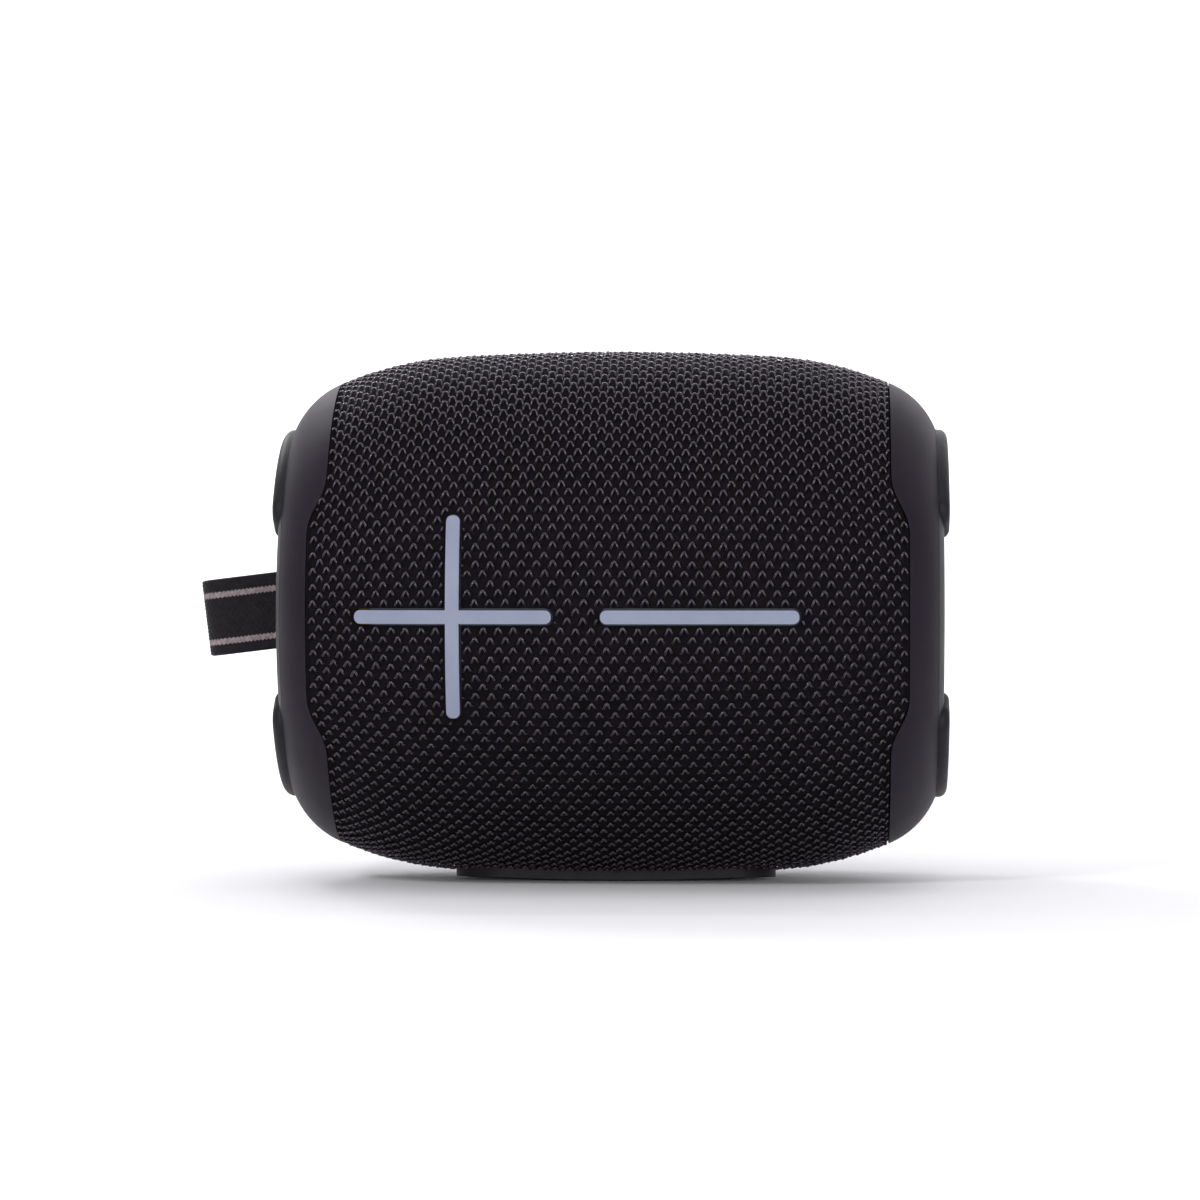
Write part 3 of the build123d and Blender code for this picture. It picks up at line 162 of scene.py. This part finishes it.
class Material:
    """A principled material whose colour, roughness and bump come from procedural nodes."""

    def __init__(self, name, roughness=0.5, metallic=0.0, specular=0.5):
        self.material = bpy.data.materials.new(name)
        self.material.use_nodes = True
        self.tree = self.material.node_tree
        self.shader = self.tree.nodes["Principled BSDF"]
        self.shader.inputs["Roughness"].default_value = roughness
        self.shader.inputs["Metallic"].default_value = metallic
        self.shader.inputs["Specular IOR Level"].default_value = specular
        self.coordinates = self.tree.nodes.new("ShaderNodeTexCoord")

    def set(self, socket, value):
        self.shader.inputs[socket].default_value = value

    def link(self, source, target):
        self.tree.links.new(source, target)

    def mapping(self, stretch, source="Object"):
        node = self.tree.nodes.new("ShaderNodeMapping")
        node.inputs["Scale"].default_value = stretch
        self.link(self.coordinates.outputs[source], node.inputs["Vector"])
        return node.outputs["Vector"]

    def noise(self, scale, detail=3, stretch=(1, 1, 1), source="Object"):
        node = self.tree.nodes.new("ShaderNodeTexNoise")
        node.inputs["Scale"].default_value = scale
        node.inputs["Detail"].default_value = detail
        self.link(self.mapping(stretch, source), node.inputs["Vector"])
        return node.outputs["Fac"]

    def ramp(self, source, low, high, start=0.35, end=0.65):
        node = self.tree.nodes.new("ShaderNodeValToRGB")
        node.color_ramp.elements[0].position = start
        node.color_ramp.elements[1].position = end
        node.color_ramp.elements[0].color = (*low, 1)
        node.color_ramp.elements[1].color = (*high, 1)
        self.link(source, node.inputs["Fac"])
        return node.outputs["Color"]

    def color(self, low, high, scale=200, detail=3, stretch=(1, 1, 1)):
        mixed = self.ramp(self.noise(scale, detail, stretch), low, high)
        self.link(mixed, self.shader.inputs["Base Color"])
        return mixed

    def rough(self, low, high, scale=300, detail=3, stretch=(1, 1, 1)):
        node = self.tree.nodes.new("ShaderNodeMapRange")
        node.inputs["To Min"].default_value = low
        node.inputs["To Max"].default_value = high
        self.link(self.noise(scale, detail, stretch), node.inputs["Value"])
        self.link(node.outputs["Result"], self.shader.inputs["Roughness"])

    def bump(self, source, distance, strength=1.0):
        node = self.tree.nodes.new("ShaderNodeBump")
        node.inputs["Strength"].default_value = strength
        node.inputs["Distance"].default_value = distance
        self.link(source, node.inputs["Height"])
        normal_in = self.shader.inputs["Normal"]
        if normal_in.is_linked:
            self.link(normal_in.links[0].from_socket, node.inputs["Normal"])
        self.link(node.outputs["Normal"], normal_in)

    def math(self, operation, first, second=0.0):
        node = self.tree.nodes.new("ShaderNodeMath")
        node.operation = operation
        for socket, value in zip(node.inputs, (first, second)):
            if isinstance(value, (int, float)):
                socket.default_value = value
            else:
                self.link(value, socket)
        return node.outputs[0]

    def split(self, source="Object"):
        node = self.tree.nodes.new("ShaderNodeSeparateXYZ")
        self.link(self.coordinates.outputs[source], node.inputs[0])
        return node.outputs


def yarn_material():
    """Black polyester yarn with a purple cast, satin along its filaments."""
    made = Material("yarn_black", specular=0.8)
    made.set("Specular Tint", (0.97, 0.82, 1, 1))
    made.color((0.003, 0.002, 0.004), (0.009, 0.006, 0.010), scale=420, detail=4)
    made.rough(0.22, 0.34, scale=900)
    made.bump(made.noise(5200, detail=2), 0.00003, 0.5)
    made.set("Sheen Weight", 0.06)
    made.set("Sheen Roughness", 0.4)
    made.set("Sheen Tint", (0.8, 0.7, 0.85, 1))
    return made.material


def base_cloth_material():
    """The dark backing that shows between the yarns."""
    made = Material("backing_cloth", roughness=0.9, specular=0.1)
    made.color((0.002, 0.0015, 0.002), (0.005, 0.0035, 0.005), scale=900)
    made.bump(made.noise(2500, detail=3), 0.0001)
    return made.material


def soft_touch_material():
    """Purple-black moulded plastic with a soft-touch coat, slightly paler where it's handled."""
    made = Material("soft_touch_plastic", specular=0.14)
    made.set("Specular Tint", (0.95, 0.80, 1, 1))
    made.color((0.008, 0.0055, 0.009), (0.011, 0.008, 0.013), scale=60, detail=5)
    made.rough(0.52, 0.62, scale=130, detail=4)
    made.bump(made.noise(2600, detail=2), 0.00002, 0.5)
    made.set("Sheen Weight", 0.03)
    made.set("Sheen Roughness", 0.5)
    return made.material


def rubber_material(name, low, high, roughness=(0.45, 0.6), grain=1800):
    made = Material(name, specular=0.2)
    made.color(low, high, scale=90, detail=5)
    made.rough(*roughness, scale=200, detail=4)
    made.bump(made.noise(grain, detail=3), 0.00003, 0.5)
    return made.material


def key_material():
    """Light blue-grey silicone, matte and very slightly mottled."""
    made = Material("key_silicone", specular=0.35)
    made.color((0.176, 0.198, 0.270), (0.196, 0.215, 0.288), scale=140, detail=4)
    made.rough(0.55, 0.7, scale=300)
    made.bump(made.noise(2400, detail=2), 0.00002, 0.5)
    return made.material


def plastic_material(name, low, high, roughness=(0.4, 0.55), specular=0.5, grain=1500):
    made = Material(name, specular=specular)
    made.color(low, high, scale=70, detail=4)
    made.rough(*roughness, scale=160, detail=3)
    made.bump(made.noise(grain, detail=2), 0.00002, 0.4)
    return made.material


def metal_material(name, low, high, roughness=(0.25, 0.42), stretch=(1, 1, 14)):
    """Metal with fine brushed or turned lines."""
    made = Material(name, metallic=1.0)
    made.color(low, high, scale=260, detail=5, stretch=stretch)
    made.rough(*roughness, scale=500, detail=4, stretch=stretch)
    made.bump(made.noise(1200, detail=2, stretch=stretch), 0.00001, 0.4)
    return made.material


def board_material():
    """Green solder mask with faint copper tracks below it."""
    made = Material("circuit_board", roughness=0.35, specular=0.5)
    tracks = made.tree.nodes.new("ShaderNodeTexBrick")
    tracks.inputs["Scale"].default_value = 420
    tracks.inputs["Color1"].default_value = (0.010, 0.10, 0.045, 1)
    tracks.inputs["Color2"].default_value = (0.014, 0.13, 0.060, 1)
    tracks.inputs["Mortar"].default_value = (0.035, 0.22, 0.10, 1)
    tracks.inputs["Mortar Size"].default_value = 0.012
    made.link(made.mapping((1, 1, 1)), tracks.inputs["Vector"])
    made.link(tracks.outputs["Color"], made.shader.inputs["Base Color"])
    made.rough(0.28, 0.42, scale=300)
    made.bump(tracks.outputs["Fac"], 0.00002, 0.5)
    return made.material


def winding_material():
    """Copper wire wound side by side round the driver's axis."""
    made = Material("coil_winding", metallic=1.0)
    made.color((0.62, 0.27, 0.12), (0.80, 0.40, 0.20), scale=600)
    made.rough(0.22, 0.36, scale=800)
    turns = made.math("SINE", made.math("MULTIPLY", made.split()[1], 2 * math.pi / 0.00025))
    made.bump(turns, 0.00004)
    return made.material


def cell_material():
    """Blue shrink film over the cell, wrinkled at its ends."""
    made = Material("cell_film", roughness=0.3, specular=0.5)
    made.color((0.010, 0.07, 0.24), (0.018, 0.10, 0.32), scale=80, detail=4)
    made.rough(0.22, 0.4, scale=150)
    made.bump(made.noise(300, detail=4, stretch=(0.3, 1, 1)), 0.00006, 0.5)
    made.set("Coat Weight", 0.3)
    return made.material


SPIDER_THREADS = 9000  # radians of weave in a metre


def spider_material():
    """Resin-treated cloth, an open amber weave."""
    made = Material("spider_cloth", roughness=0.8)
    made.color((0.36, 0.24, 0.08), (0.55, 0.40, 0.16), scale=500)
    x, _, z = made.split()[:3]
    threads_x = made.math("SINE", made.math("MULTIPLY", x, SPIDER_THREADS))
    threads_z = made.math("SINE", made.math("MULTIPLY", z, SPIDER_THREADS))
    weave = made.math("MULTIPLY", threads_x, threads_z)
    made.bump(weave, 0.00005)
    return made.material


def cone_material():
    """Pressed pulp with long dark fibres."""
    made = Material("cone_pulp", roughness=0.85)
    made.color((0.016, 0.016, 0.018), (0.05, 0.05, 0.055), scale=500, detail=8, stretch=(1, 0.3, 1))
    made.bump(made.noise(900, detail=6), 0.00008, 0.6)
    return made.material


def lens_material():
    """Milky clear plastic over the status light."""
    made = Material("status_lens", roughness=0.2, specular=0.5)
    made.color((0.62, 0.65, 0.70), (0.72, 0.75, 0.80), scale=400)
    made.rough(0.12, 0.25, scale=500)
    made.set("Transmission Weight", 0.35)
    made.set("Subsurface Weight", 0.1)
    made.set("Subsurface Radius", (0.001, 0.001, 0.001))
    return made.material


def slot_materials():
    """One finished material for each material slot of the record that CAD nodes show."""
    black = (0.012, 0.012, 0.012)
    return {
        "cap_plastic": soft_touch_material(),
        "bumper_rubber": rubber_material("bumper_silicone", (0.0065, 0.006, 0.008), (0.010, 0.009, 0.012)),
        "button_rubber": rubber_material("button_silicone", (0.020, 0.022, 0.028), (0.028, 0.031, 0.038)),
        "key_rubber": key_material(),
        "steel": metal_material("zinc_steel", (0.50, 0.50, 0.51), (0.66, 0.66, 0.66)),
        "light_lens": lens_material(),
        "socket_steel": metal_material(
            "socket_shell", (0.55, 0.55, 0.57), (0.68, 0.68, 0.70), stretch=(14, 1, 1)
        ),
        "circuit_board": board_material(),
        "seal_rubber": rubber_material("seal_rubber", (0.010, 0.010, 0.010), (0.02, 0.02, 0.02), (0.6, 0.8)),
        "grille_plastic": plastic_material("grille_plastic", (0.015, 0.015, 0.016), (0.022, 0.022, 0.024)),
        "chassis_plastic": plastic_material("chassis_plastic", (0.035, 0.035, 0.038), (0.05, 0.05, 0.054)),
        "driver_steel": metal_material(
            "painted_basket", (0.05, 0.05, 0.05), (0.09, 0.09, 0.09), (0.4, 0.6)
        ),
        "magnet_steel": metal_material("motor_yoke", (0.42, 0.42, 0.43), (0.58, 0.58, 0.58)),
        "surround_rubber": rubber_material("surround_rubber", black, (0.02, 0.02, 0.02), (0.35, 0.5)),
        "cone_paper": cone_material(),
        "coil_copper": winding_material(),
        "spider_cloth": spider_material(),
        "radiator_alloy": metal_material(
            "anodised_plate", (0.05, 0.05, 0.055), (0.09, 0.09, 0.10), stretch=(1, 14, 1)
        ),
        "cell_wrap": cell_material(),
        "component_black": plastic_material(
            "component_resin", (0.012, 0.012, 0.013), (0.03, 0.03, 0.032), (0.25, 0.45)
        ),
        "switch_body": plastic_material("switch_body", (0.06, 0.06, 0.065), (0.10, 0.10, 0.105)),
        "lead_black": rubber_material("lead_black", black, (0.022, 0.022, 0.022), (0.35, 0.5)),
        "lead_red": rubber_material("lead_red", (0.28, 0.012, 0.010), (0.36, 0.02, 0.018), (0.35, 0.5)),
        "ribbon_film": plastic_material(
            "polyimide_film", (0.30, 0.12, 0.015), (0.42, 0.19, 0.03), (0.2, 0.35)
        ),
    }


def dress_cad_nodes():
    """Gives every CAD node its slot's material, but for the sleeve and strap, which new pieces replace."""
    made = slot_materials()
    slots = {part["node"]: part["material_slot"] for part in frame["record"]["subparts"]}
    for name, node in frame["nodes"].items():
        material = made.get(slots[name])
        if material is None:
            continue
        node.data.materials.clear()
        node.data.materials.append(material)


# ---------------------------------------------------------------- the barrel's surface

turn_at_knee = math.asin(MIDDLE_REACH / MIDDLE_ARC)
shoulder_x = (MIDDLE_ARC - SHOULDER_ARC) * math.sin(turn_at_knee)
shoulder_r = BODY_RADIUS - MIDDLE_ARC + (MIDDLE_ARC - SHOULDER_ARC) * math.cos(turn_at_knee)


def barrel_radius(x):
    """Radius of the fabric's surface at places along the barrel."""
    x = np.abs(x)
    middle = BODY_RADIUS - MIDDLE_ARC + np.sqrt(MIDDLE_ARC**2 - x**2)
    shoulder = shoulder_r + np.sqrt(np.maximum(SHOULDER_ARC**2 - (x - shoulder_x) ** 2, 0))
    return np.where(x <= MIDDLE_REACH, middle, shoulder)


def fabric_edge(z):
    """How far the fabric reaches along the barrel at a height above or below its axis."""
    t = np.clip((np.abs(z) - BULGE_HALF) / (BULGE_END - BULGE_HALF), 0, 1)
    return BULGE_REACH + (FABRIC_REACH - BULGE_REACH) * t * t * (3 - 2 * t)


def on_barrel(x, turn, lift):
    """Points in metres at places along the barrel, angles above the front, and heights over the surface."""
    radius = barrel_radius(x) + lift
    return np.stack(
        [x, -radius * np.cos(turn), AXIS_Z + radius * np.sin(turn)], axis=-1
    ) * MM


def outside_bar(x, z, center_x, length, height, gap):
    return (np.abs(x - center_x) > length / 2 + gap) | (np.abs(z) > height / 2 + gap)


def cloth_is_there(x, turn, lift):
    """Where the knit runs: inside the fabric's outline, clear of the two keys and of the foot."""
    gap = KEY_CLEARANCE
    radius = barrel_radius(x) + lift
    z = radius * np.sin(turn)
    front = np.cos(turn) > 0
    inside = np.abs(x) < fabric_edge(z) - EDGE_CLEARANCE
    keys = outside_bar(x, z, PLUS_X, KEY_LENGTH, KEY_BAR, gap)
    keys &= outside_bar(x, z, PLUS_X, KEY_BAR, KEY_HEIGHT, gap)
    keys &= outside_bar(x, z, MINUS_X, KEY_LENGTH, KEY_BAR, gap)
    y = radius * np.cos(turn)
    straight = np.maximum(np.abs(x) - (FOOT_LENGTH - FOOT_WIDTH) / 2, 0)
    foot = (np.hypot(straight, y) > FOOT_WIDTH / 2 + gap) | (z > 0)
    return inside & (keys | ~front) & foot


def new_object(name, verts, faces, material):
    mesh = bpy.data.meshes.new(name)
    mesh.from_pydata([tuple(v) for v in verts], [], [tuple(f) for f in faces])
    mesh.shade_smooth()
    mesh.materials.append(material)
    piece = bpy.data.objects.new(name, mesh)
    bpy.context.scene.collection.objects.link(piece)
    return piece


def tube(path, side, up, half_width, half_height, sides=6):
    """Vertices and faces of a closed tube along a path, oval across, capped flat at both ends."""
    count = len(path)
    turns = np.linspace(0, 2 * math.pi, sides, endpoint=False)
    across = np.cos(turns)[None, :, None] * side[:, None, :] * np.reshape(half_width, (-1, 1, 1))
    upward = np.sin(turns)[None, :, None] * up[:, None, :] * np.reshape(half_height, (-1, 1, 1))
    verts = (path[:, None, :] + across + upward).reshape(-1, 3)
    ring = np.arange(count - 1)[:, None] * sides
    column = np.arange(sides)[None, :]
    after = (column + 1) % sides
    faces = np.stack([ring + column, ring + after, ring + sides + after, ring + sides + column], axis=-1)
    faces = faces.reshape(-1, 4).tolist()
    faces.append(list(range(sides))[::-1])
    faces.append(list(range((count - 1) * sides, count * sides)))
    return verts, faces


# ---------------------------------------------------------------- knitted sleeve

KNIT_PITCH = 2.40
KNIT_ROWS = 178
KNIT_SECTORS = 6
YARN_WIDTH = 0.19
YARN_HEIGHT = 0.17
KEY_CLEARANCE = 0.40
EDGE_CLEARANCE = 0.12
SHORTEST_STITCH = 3  # points of a stitch that must be clear for its piece to be kept
STITCH_SHIFT = 0.05  # spread of each stitch's place
STITCH_BEND = 0.02  # spread of each point of a stitch
LEG_SPREAD = 0.06
WAVE_HEIGHT = 0.05  # each row's slow wander round the barrel
WAVE_LENGTH = 9
# One stitch of the knit, up its long left leg and down its short right leg: (along, around, lift) in
# millimetres. Both ends dive through the backing.
STITCH = [
    (-0.66, -0.66, -0.60),
    (-0.56, -0.50, -0.18),
    (-0.42, -0.22, 0.08),
    (-0.26, 0.10, 0.17),
    (-0.10, 0.40, 0.12),
    (0.08, 0.50, 0.04),
    (0.26, 0.30, 0.08),
    (0.42, -0.02, 0.06),
    (0.56, -0.32, -0.10),
    (0.66, -0.52, -0.60),
]


def surface_lengths():
    """Places along the barrel and the length of its surface from the middle to each."""
    x = np.linspace(-BULGE_REACH, BULGE_REACH, 2001)
    r = barrel_radius(x)
    steps = np.hypot(np.diff(x), np.diff(r))
    length = np.concatenate([[0], np.cumsum(steps)])
    return x, length - length[len(length) // 2]


def knit_row(row, rng, table):
    """Every stitch of one row: arrays (stitch, point) of place along, angle and lift."""
    x_table, s_table = table
    reach = s_table[-1]
    count = int(2 * reach / KNIT_PITCH) + 2
    stitch = np.array(STITCH)
    start = -reach - KNIT_PITCH + (row % 2) * KNIT_PITCH / 2
    shift = rng.normal(0, STITCH_SHIFT, (count, 3)) * (1, 1, 0.6)
    bend = rng.normal(0, STITCH_BEND, (count, len(stitch), 2))
    along = start + np.arange(count)[:, None] * KNIT_PITCH + stitch[None, :, 0] + shift[:, :1] + bend[..., 0]
    wave = WAVE_HEIGHT * np.sin(along / WAVE_LENGTH + rng.uniform(0, 2 * math.pi))
    legs = stitch[None, :, 1] * rng.normal(1, LEG_SPREAD, (count, 1))
    around = legs + shift[:, 1:2] + bend[..., 1] + wave
    lift = stitch[None, :, 2] + shift[:, 2:]
    inside = (np.abs(along) < reach).all(axis=1)
    x = np.interp(along[inside], s_table, x_table)
    turn = 2 * math.pi * (row + 0.5) / KNIT_ROWS
    return x, turn + around[inside] / BODY_RADIUS, lift[inside]


def longest_run(mask):
    """The longest unbroken stretch of true values, as a slice."""
    best = slice(0, 0)
    start = None
    for place, value in enumerate([*mask, False]):
        if value and start is None:
            start = place
        if not value and start is not None:
            if place - start > best.stop - best.start:
                best = slice(start, place)
            start = None
    return best


def make_knit(material):
    """The visible yarns: stitches in rows along the barrel, each row half a stitch on from the last."""
    rng = np.random.default_rng(7)
    table = surface_lengths()
    sectors = []
    bounds = np.linspace(0, KNIT_ROWS, KNIT_SECTORS + 1).astype(int)
    for sector in range(KNIT_SECTORS):
        verts, faces, count = [], [], 0
        for row in range(bounds[sector], bounds[sector + 1]):
            x, turn, lift = knit_row(row, rng, table)
            masks = cloth_is_there(x, turn, lift)
            paths = on_barrel(x, turn, lift)
            ups = on_barrel(x, turn, lift + 1) - paths
            for path, up, mask in zip(paths, ups, masks):
                kept = longest_run(mask)
                if kept.stop - kept.start < SHORTEST_STITCH:
                    continue
                path, up = path[kept], up[kept]
                up = up / np.linalg.norm(up, axis=1)[:, None]
                side = np.cross(np.gradient(path, axis=0), up)
                side /= np.linalg.norm(side, axis=1)[:, None]
                v, f = tube(path, side, up, YARN_WIDTH * MM, YARN_HEIGHT * MM)
                verts.append(v)
                faces.extend([[i + count for i in face] for face in f])
                count += len(v)
        piece = new_object(f"knit_yarns_{sector + 1}", np.concatenate(verts), faces, material)
        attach(piece, "housing")
        sectors.append(piece)
    return sectors


BASE_DROP = 0.42


def make_base_cloth(material):
    """The sleeve's backing: the CAD sleeve's own outline with its outer skin let down under the yarns."""
    source = frame["nodes"]["fabric_sleeve"].data
    mesh = source.copy()
    mesh.name = "sleeve_backing"
    mesh.materials.clear()
    mesh.materials.append(material)
    points = np.zeros(len(mesh.vertices) * 3, np.float32)
    mesh.vertices.foreach_get("co", points)
    points = points.reshape(-1, 3) / MM
    radial = points - np.array([0, 0, AXIS_Z])
    radial[:, 0] = 0
    radius = np.linalg.norm(radial, axis=1)
    depth = barrel_radius(points[:, 0]) - radius
    drop = np.where(depth < BASE_DROP, BASE_DROP - depth, 0)
    points -= radial / radius[:, None] * drop[:, None]
    mesh.vertices.foreach_set("co", (points * MM).ravel())
    mesh.update()
    backing = bpy.data.objects.new("sleeve_backing", mesh)
    bpy.context.scene.collection.objects.link(backing)
    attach(backing, "housing")
    return backing


HEM_INSET = 0.22
HEM_HALF_WIDTH = 0.26
HEM_HALF_HEIGHT = 0.24


def make_hems(material):
    """A turned-over hem along both edges of the sleeve, where it tucks against the end caps."""
    hems = []
    turn = np.linspace(0, 2 * math.pi, 721)
    for side_sign, name in ((-1, "left_hem"), (1, "right_hem")):
        x = np.full(turn.shape, FABRIC_REACH)
        for _ in range(8):
            x = fabric_edge(barrel_radius(x) * np.sin(turn)) - HEM_INSET
        path = on_barrel(side_sign * x, turn, -BASE_DROP)
        up = on_barrel(side_sign * x, turn, 1.0) - path
        up /= np.linalg.norm(up, axis=1)[:, None]
        side = np.cross(np.gradient(path, axis=0), up)
        side /= np.linalg.norm(side, axis=1)[:, None]
        verts, faces = tube(path, side, up, HEM_HALF_WIDTH * MM, HEM_HALF_HEIGHT * MM, sides=8)
        hem = new_object(name, verts, faces, material)
        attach(hem, "housing")
        hems.append(hem)
    return hems


# ---------------------------------------------------------------- carry strap

STRAP_DROOP = math.radians(7)
STRAP_LIFT = 1.05
STRAP_WIDTH = 12.4
STRAP_TIP = -66.9
STRAP_EYE = 3.5
STRAP_TIP_ROUND = 4.2
WEBBING = 1.3
STRIPES = [(2.2, 0.9), (9.8, 0.9)]  # middle and width of each, across the tape
STRIPE_STEP = 0.62
STRIPE_JAG = 0.09
WARP_PITCH = 0.62
WEFT_PITCH = 0.90
RIB_HEIGHT = 0.10
SELVEDGE = 0.55


def strap_path(count):
    """Middle line of the webbing's loop in its own plane: (out from the pin, across), starting at the eye."""
    run = (PIN_X - STRAP_TIP) / math.cos(STRAP_DROOP) - STRAP_TIP_ROUND
    eye = STRAP_EYE - WEBBING / 2
    tip = STRAP_TIP_ROUND - WEBBING / 2
    lean = math.asin((tip - eye) / run)
    eye_turns = np.linspace(-math.pi, -math.pi / 2 - lean, 60)
    tip_turns = np.linspace(-math.pi / 2 - lean, math.pi / 2 + lean, 120)
    back_turns = np.linspace(math.pi / 2 + lean, math.pi, 60)
    parts = [
        np.stack([eye * np.cos(eye_turns), eye * np.sin(eye_turns)], 1),
        np.stack([run + tip * np.cos(tip_turns), tip * np.sin(tip_turns)], 1),
        np.stack([eye * np.cos(back_turns), eye * np.sin(back_turns)], 1),
    ]
    points = np.concatenate(parts)
    lengths = np.concatenate([[0], np.cumsum(np.linalg.norm(np.diff(points, axis=0), axis=1))])
    even = np.linspace(0, lengths[-1], count, endpoint=False)
    return np.stack([np.interp(even, lengths, points[:, i]) for i in (0, 1)], 1), lengths[-1]


def strap_material():
    """Black ribbed webbing with two thin pinkish-grey stripes that have a stepped, woven edge."""
    made = Material("strap_webbing", specular=0.2)
    u, v = made.split("UV")[:2]
    steps = made.math("SINE", made.math("MULTIPLY", v, 2 * math.pi / STRIPE_STEP))
    jag = made.math("MULTIPLY", steps, STRIPE_JAG)
    place = made.math("ADD", u, jag)
    total = None
    for center, width in STRIPES:
        near = made.math("ABSOLUTE", made.math("SUBTRACT", place, center))
        inside = made.math("LESS_THAN", near, width / 2)
        total = inside if total is None else made.math("MAXIMUM", total, inside)
    dark = made.ramp(made.noise(1500, detail=3), (0.003, 0.002, 0.004), (0.007, 0.005, 0.007))
    pale = made.ramp(made.noise(1500, detail=3), (0.16, 0.13, 0.135), (0.27, 0.22, 0.225))
    mix = made.tree.nodes.new("ShaderNodeMix")
    mix.data_type = "RGBA"
    made.link(total, mix.inputs["Factor"])
    made.link(dark, mix.inputs["A"])
    made.link(pale, mix.inputs["B"])
    made.link(mix.outputs["Result"], made.shader.inputs["Base Color"])
    made.rough(0.6, 0.8, scale=900)
    made.bump(made.noise(6000, detail=3), 0.00004, 0.6)
    made.set("Sheen Weight", 0.06)
    made.set("Sheen Roughness", 0.4)
    return made.material


def weave_height(across, along):
    """Height of the webbing's ribs: weft ribs across the tape, broken into short warp floats."""
    warp = np.abs(np.sin(math.pi * across / WARP_PITCH))
    weft = np.sin(2 * math.pi * along / WEFT_PITCH + math.pi * np.floor(across / WARP_PITCH))
    return RIB_HEIGHT * warp * (0.6 + 0.4 * weft)


def make_strap():
    """The folded webbing: a closed tape looped round the pin, ribbed on both faces, with round selvedges."""
    count_along, count_across = 300, 120
    path, length = strap_path(count_along)
    tangent = np.roll(path, -1, 0) - np.roll(path, 1, 0)
    tangent /= np.linalg.norm(tangent, axis=1)[:, None]
    outward = np.stack([tangent[:, 1], -tangent[:, 0]], 1)
    across = np.linspace(0, STRAP_WIDTH, count_across)
    along = np.arange(count_along) * length / count_along
    edge = np.minimum(across, STRAP_WIDTH - across)
    roundness = np.clip(1 - (1 - np.clip(edge / SELVEDGE, 0, 1)) ** 2, 0.02, 1)
    half = (WEBBING / 2 - 0.12) * np.sqrt(roundness)
    height = weave_height(across[None, :], along[:, None])
    droop_x = np.array([-math.cos(STRAP_DROOP), 0, -math.sin(STRAP_DROOP)])
    droop_z = np.array([-math.sin(STRAP_DROOP), 0, math.cos(STRAP_DROOP)])
    y_axis = np.array([0, 1.0, 0])
    pin = np.array([PIN_X, 0, AXIS_Z + STRAP_LIFT])
    rings = []
    for sign in (1, -1):
        offset = sign * (half[None, :] + height * (half[None, :] > 0.3))
        flat = path[:, None, :] + outward[:, None, :] * offset[:, :, None]
        rise = (across - STRAP_WIDTH / 2)[None, :, None] * droop_z[None, None, :]
        points = pin + flat[:, :, :1] * droop_x + flat[:, :, 1:] * y_axis + rise
        rings.append(points)
    ring = np.concatenate([rings[0], rings[1][:, ::-1]], axis=1)
    size = 2 * count_across
    verts = (ring * MM).reshape(-1, 3)
    i = np.arange(count_along)[:, None]
    j = np.arange(size)[None, :]
    after_i, after_j = (i + 1) % count_along, (j + 1) % size
    ring_start, next_start = i * size, after_i * size
    corners = [ring_start + j, ring_start + after_j, next_start + after_j, next_start + j]
    faces = np.stack(corners, -1)
    strap = new_object("strap_webbing", verts, faces.reshape(-1, 4).tolist(), strap_material())
    place = np.concatenate([across, across[::-1]])
    layer = strap.data.uv_layers.new(name="tape")
    loops = np.zeros(len(strap.data.loops), np.int32)
    strap.data.loops.foreach_get("vertex_index", loops)
    uv = np.stack([place[loops % size], along[loops // size]], 1)
    layer.data.foreach_set("uv", uv.ravel())
    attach(strap, "strap")
    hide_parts("carry_strap")
    return strap


def make_object():
    dress_cad_nodes()
    yarn = yarn_material()
    cloth = base_cloth_material()
    backing = make_base_cloth(cloth)
    yarns = make_knit(yarn)
    # The hems take the backing's darker, duller cloth instead of the yarn's: painted shade for the dark line along
    # the seam by the end caps, on top of the hems' real recess below the knit.
    hems = make_hems(cloth)
    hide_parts("fabric_sleeve")
    make_strap()


make_camera()
make_lights()
make_floor()
make_object()
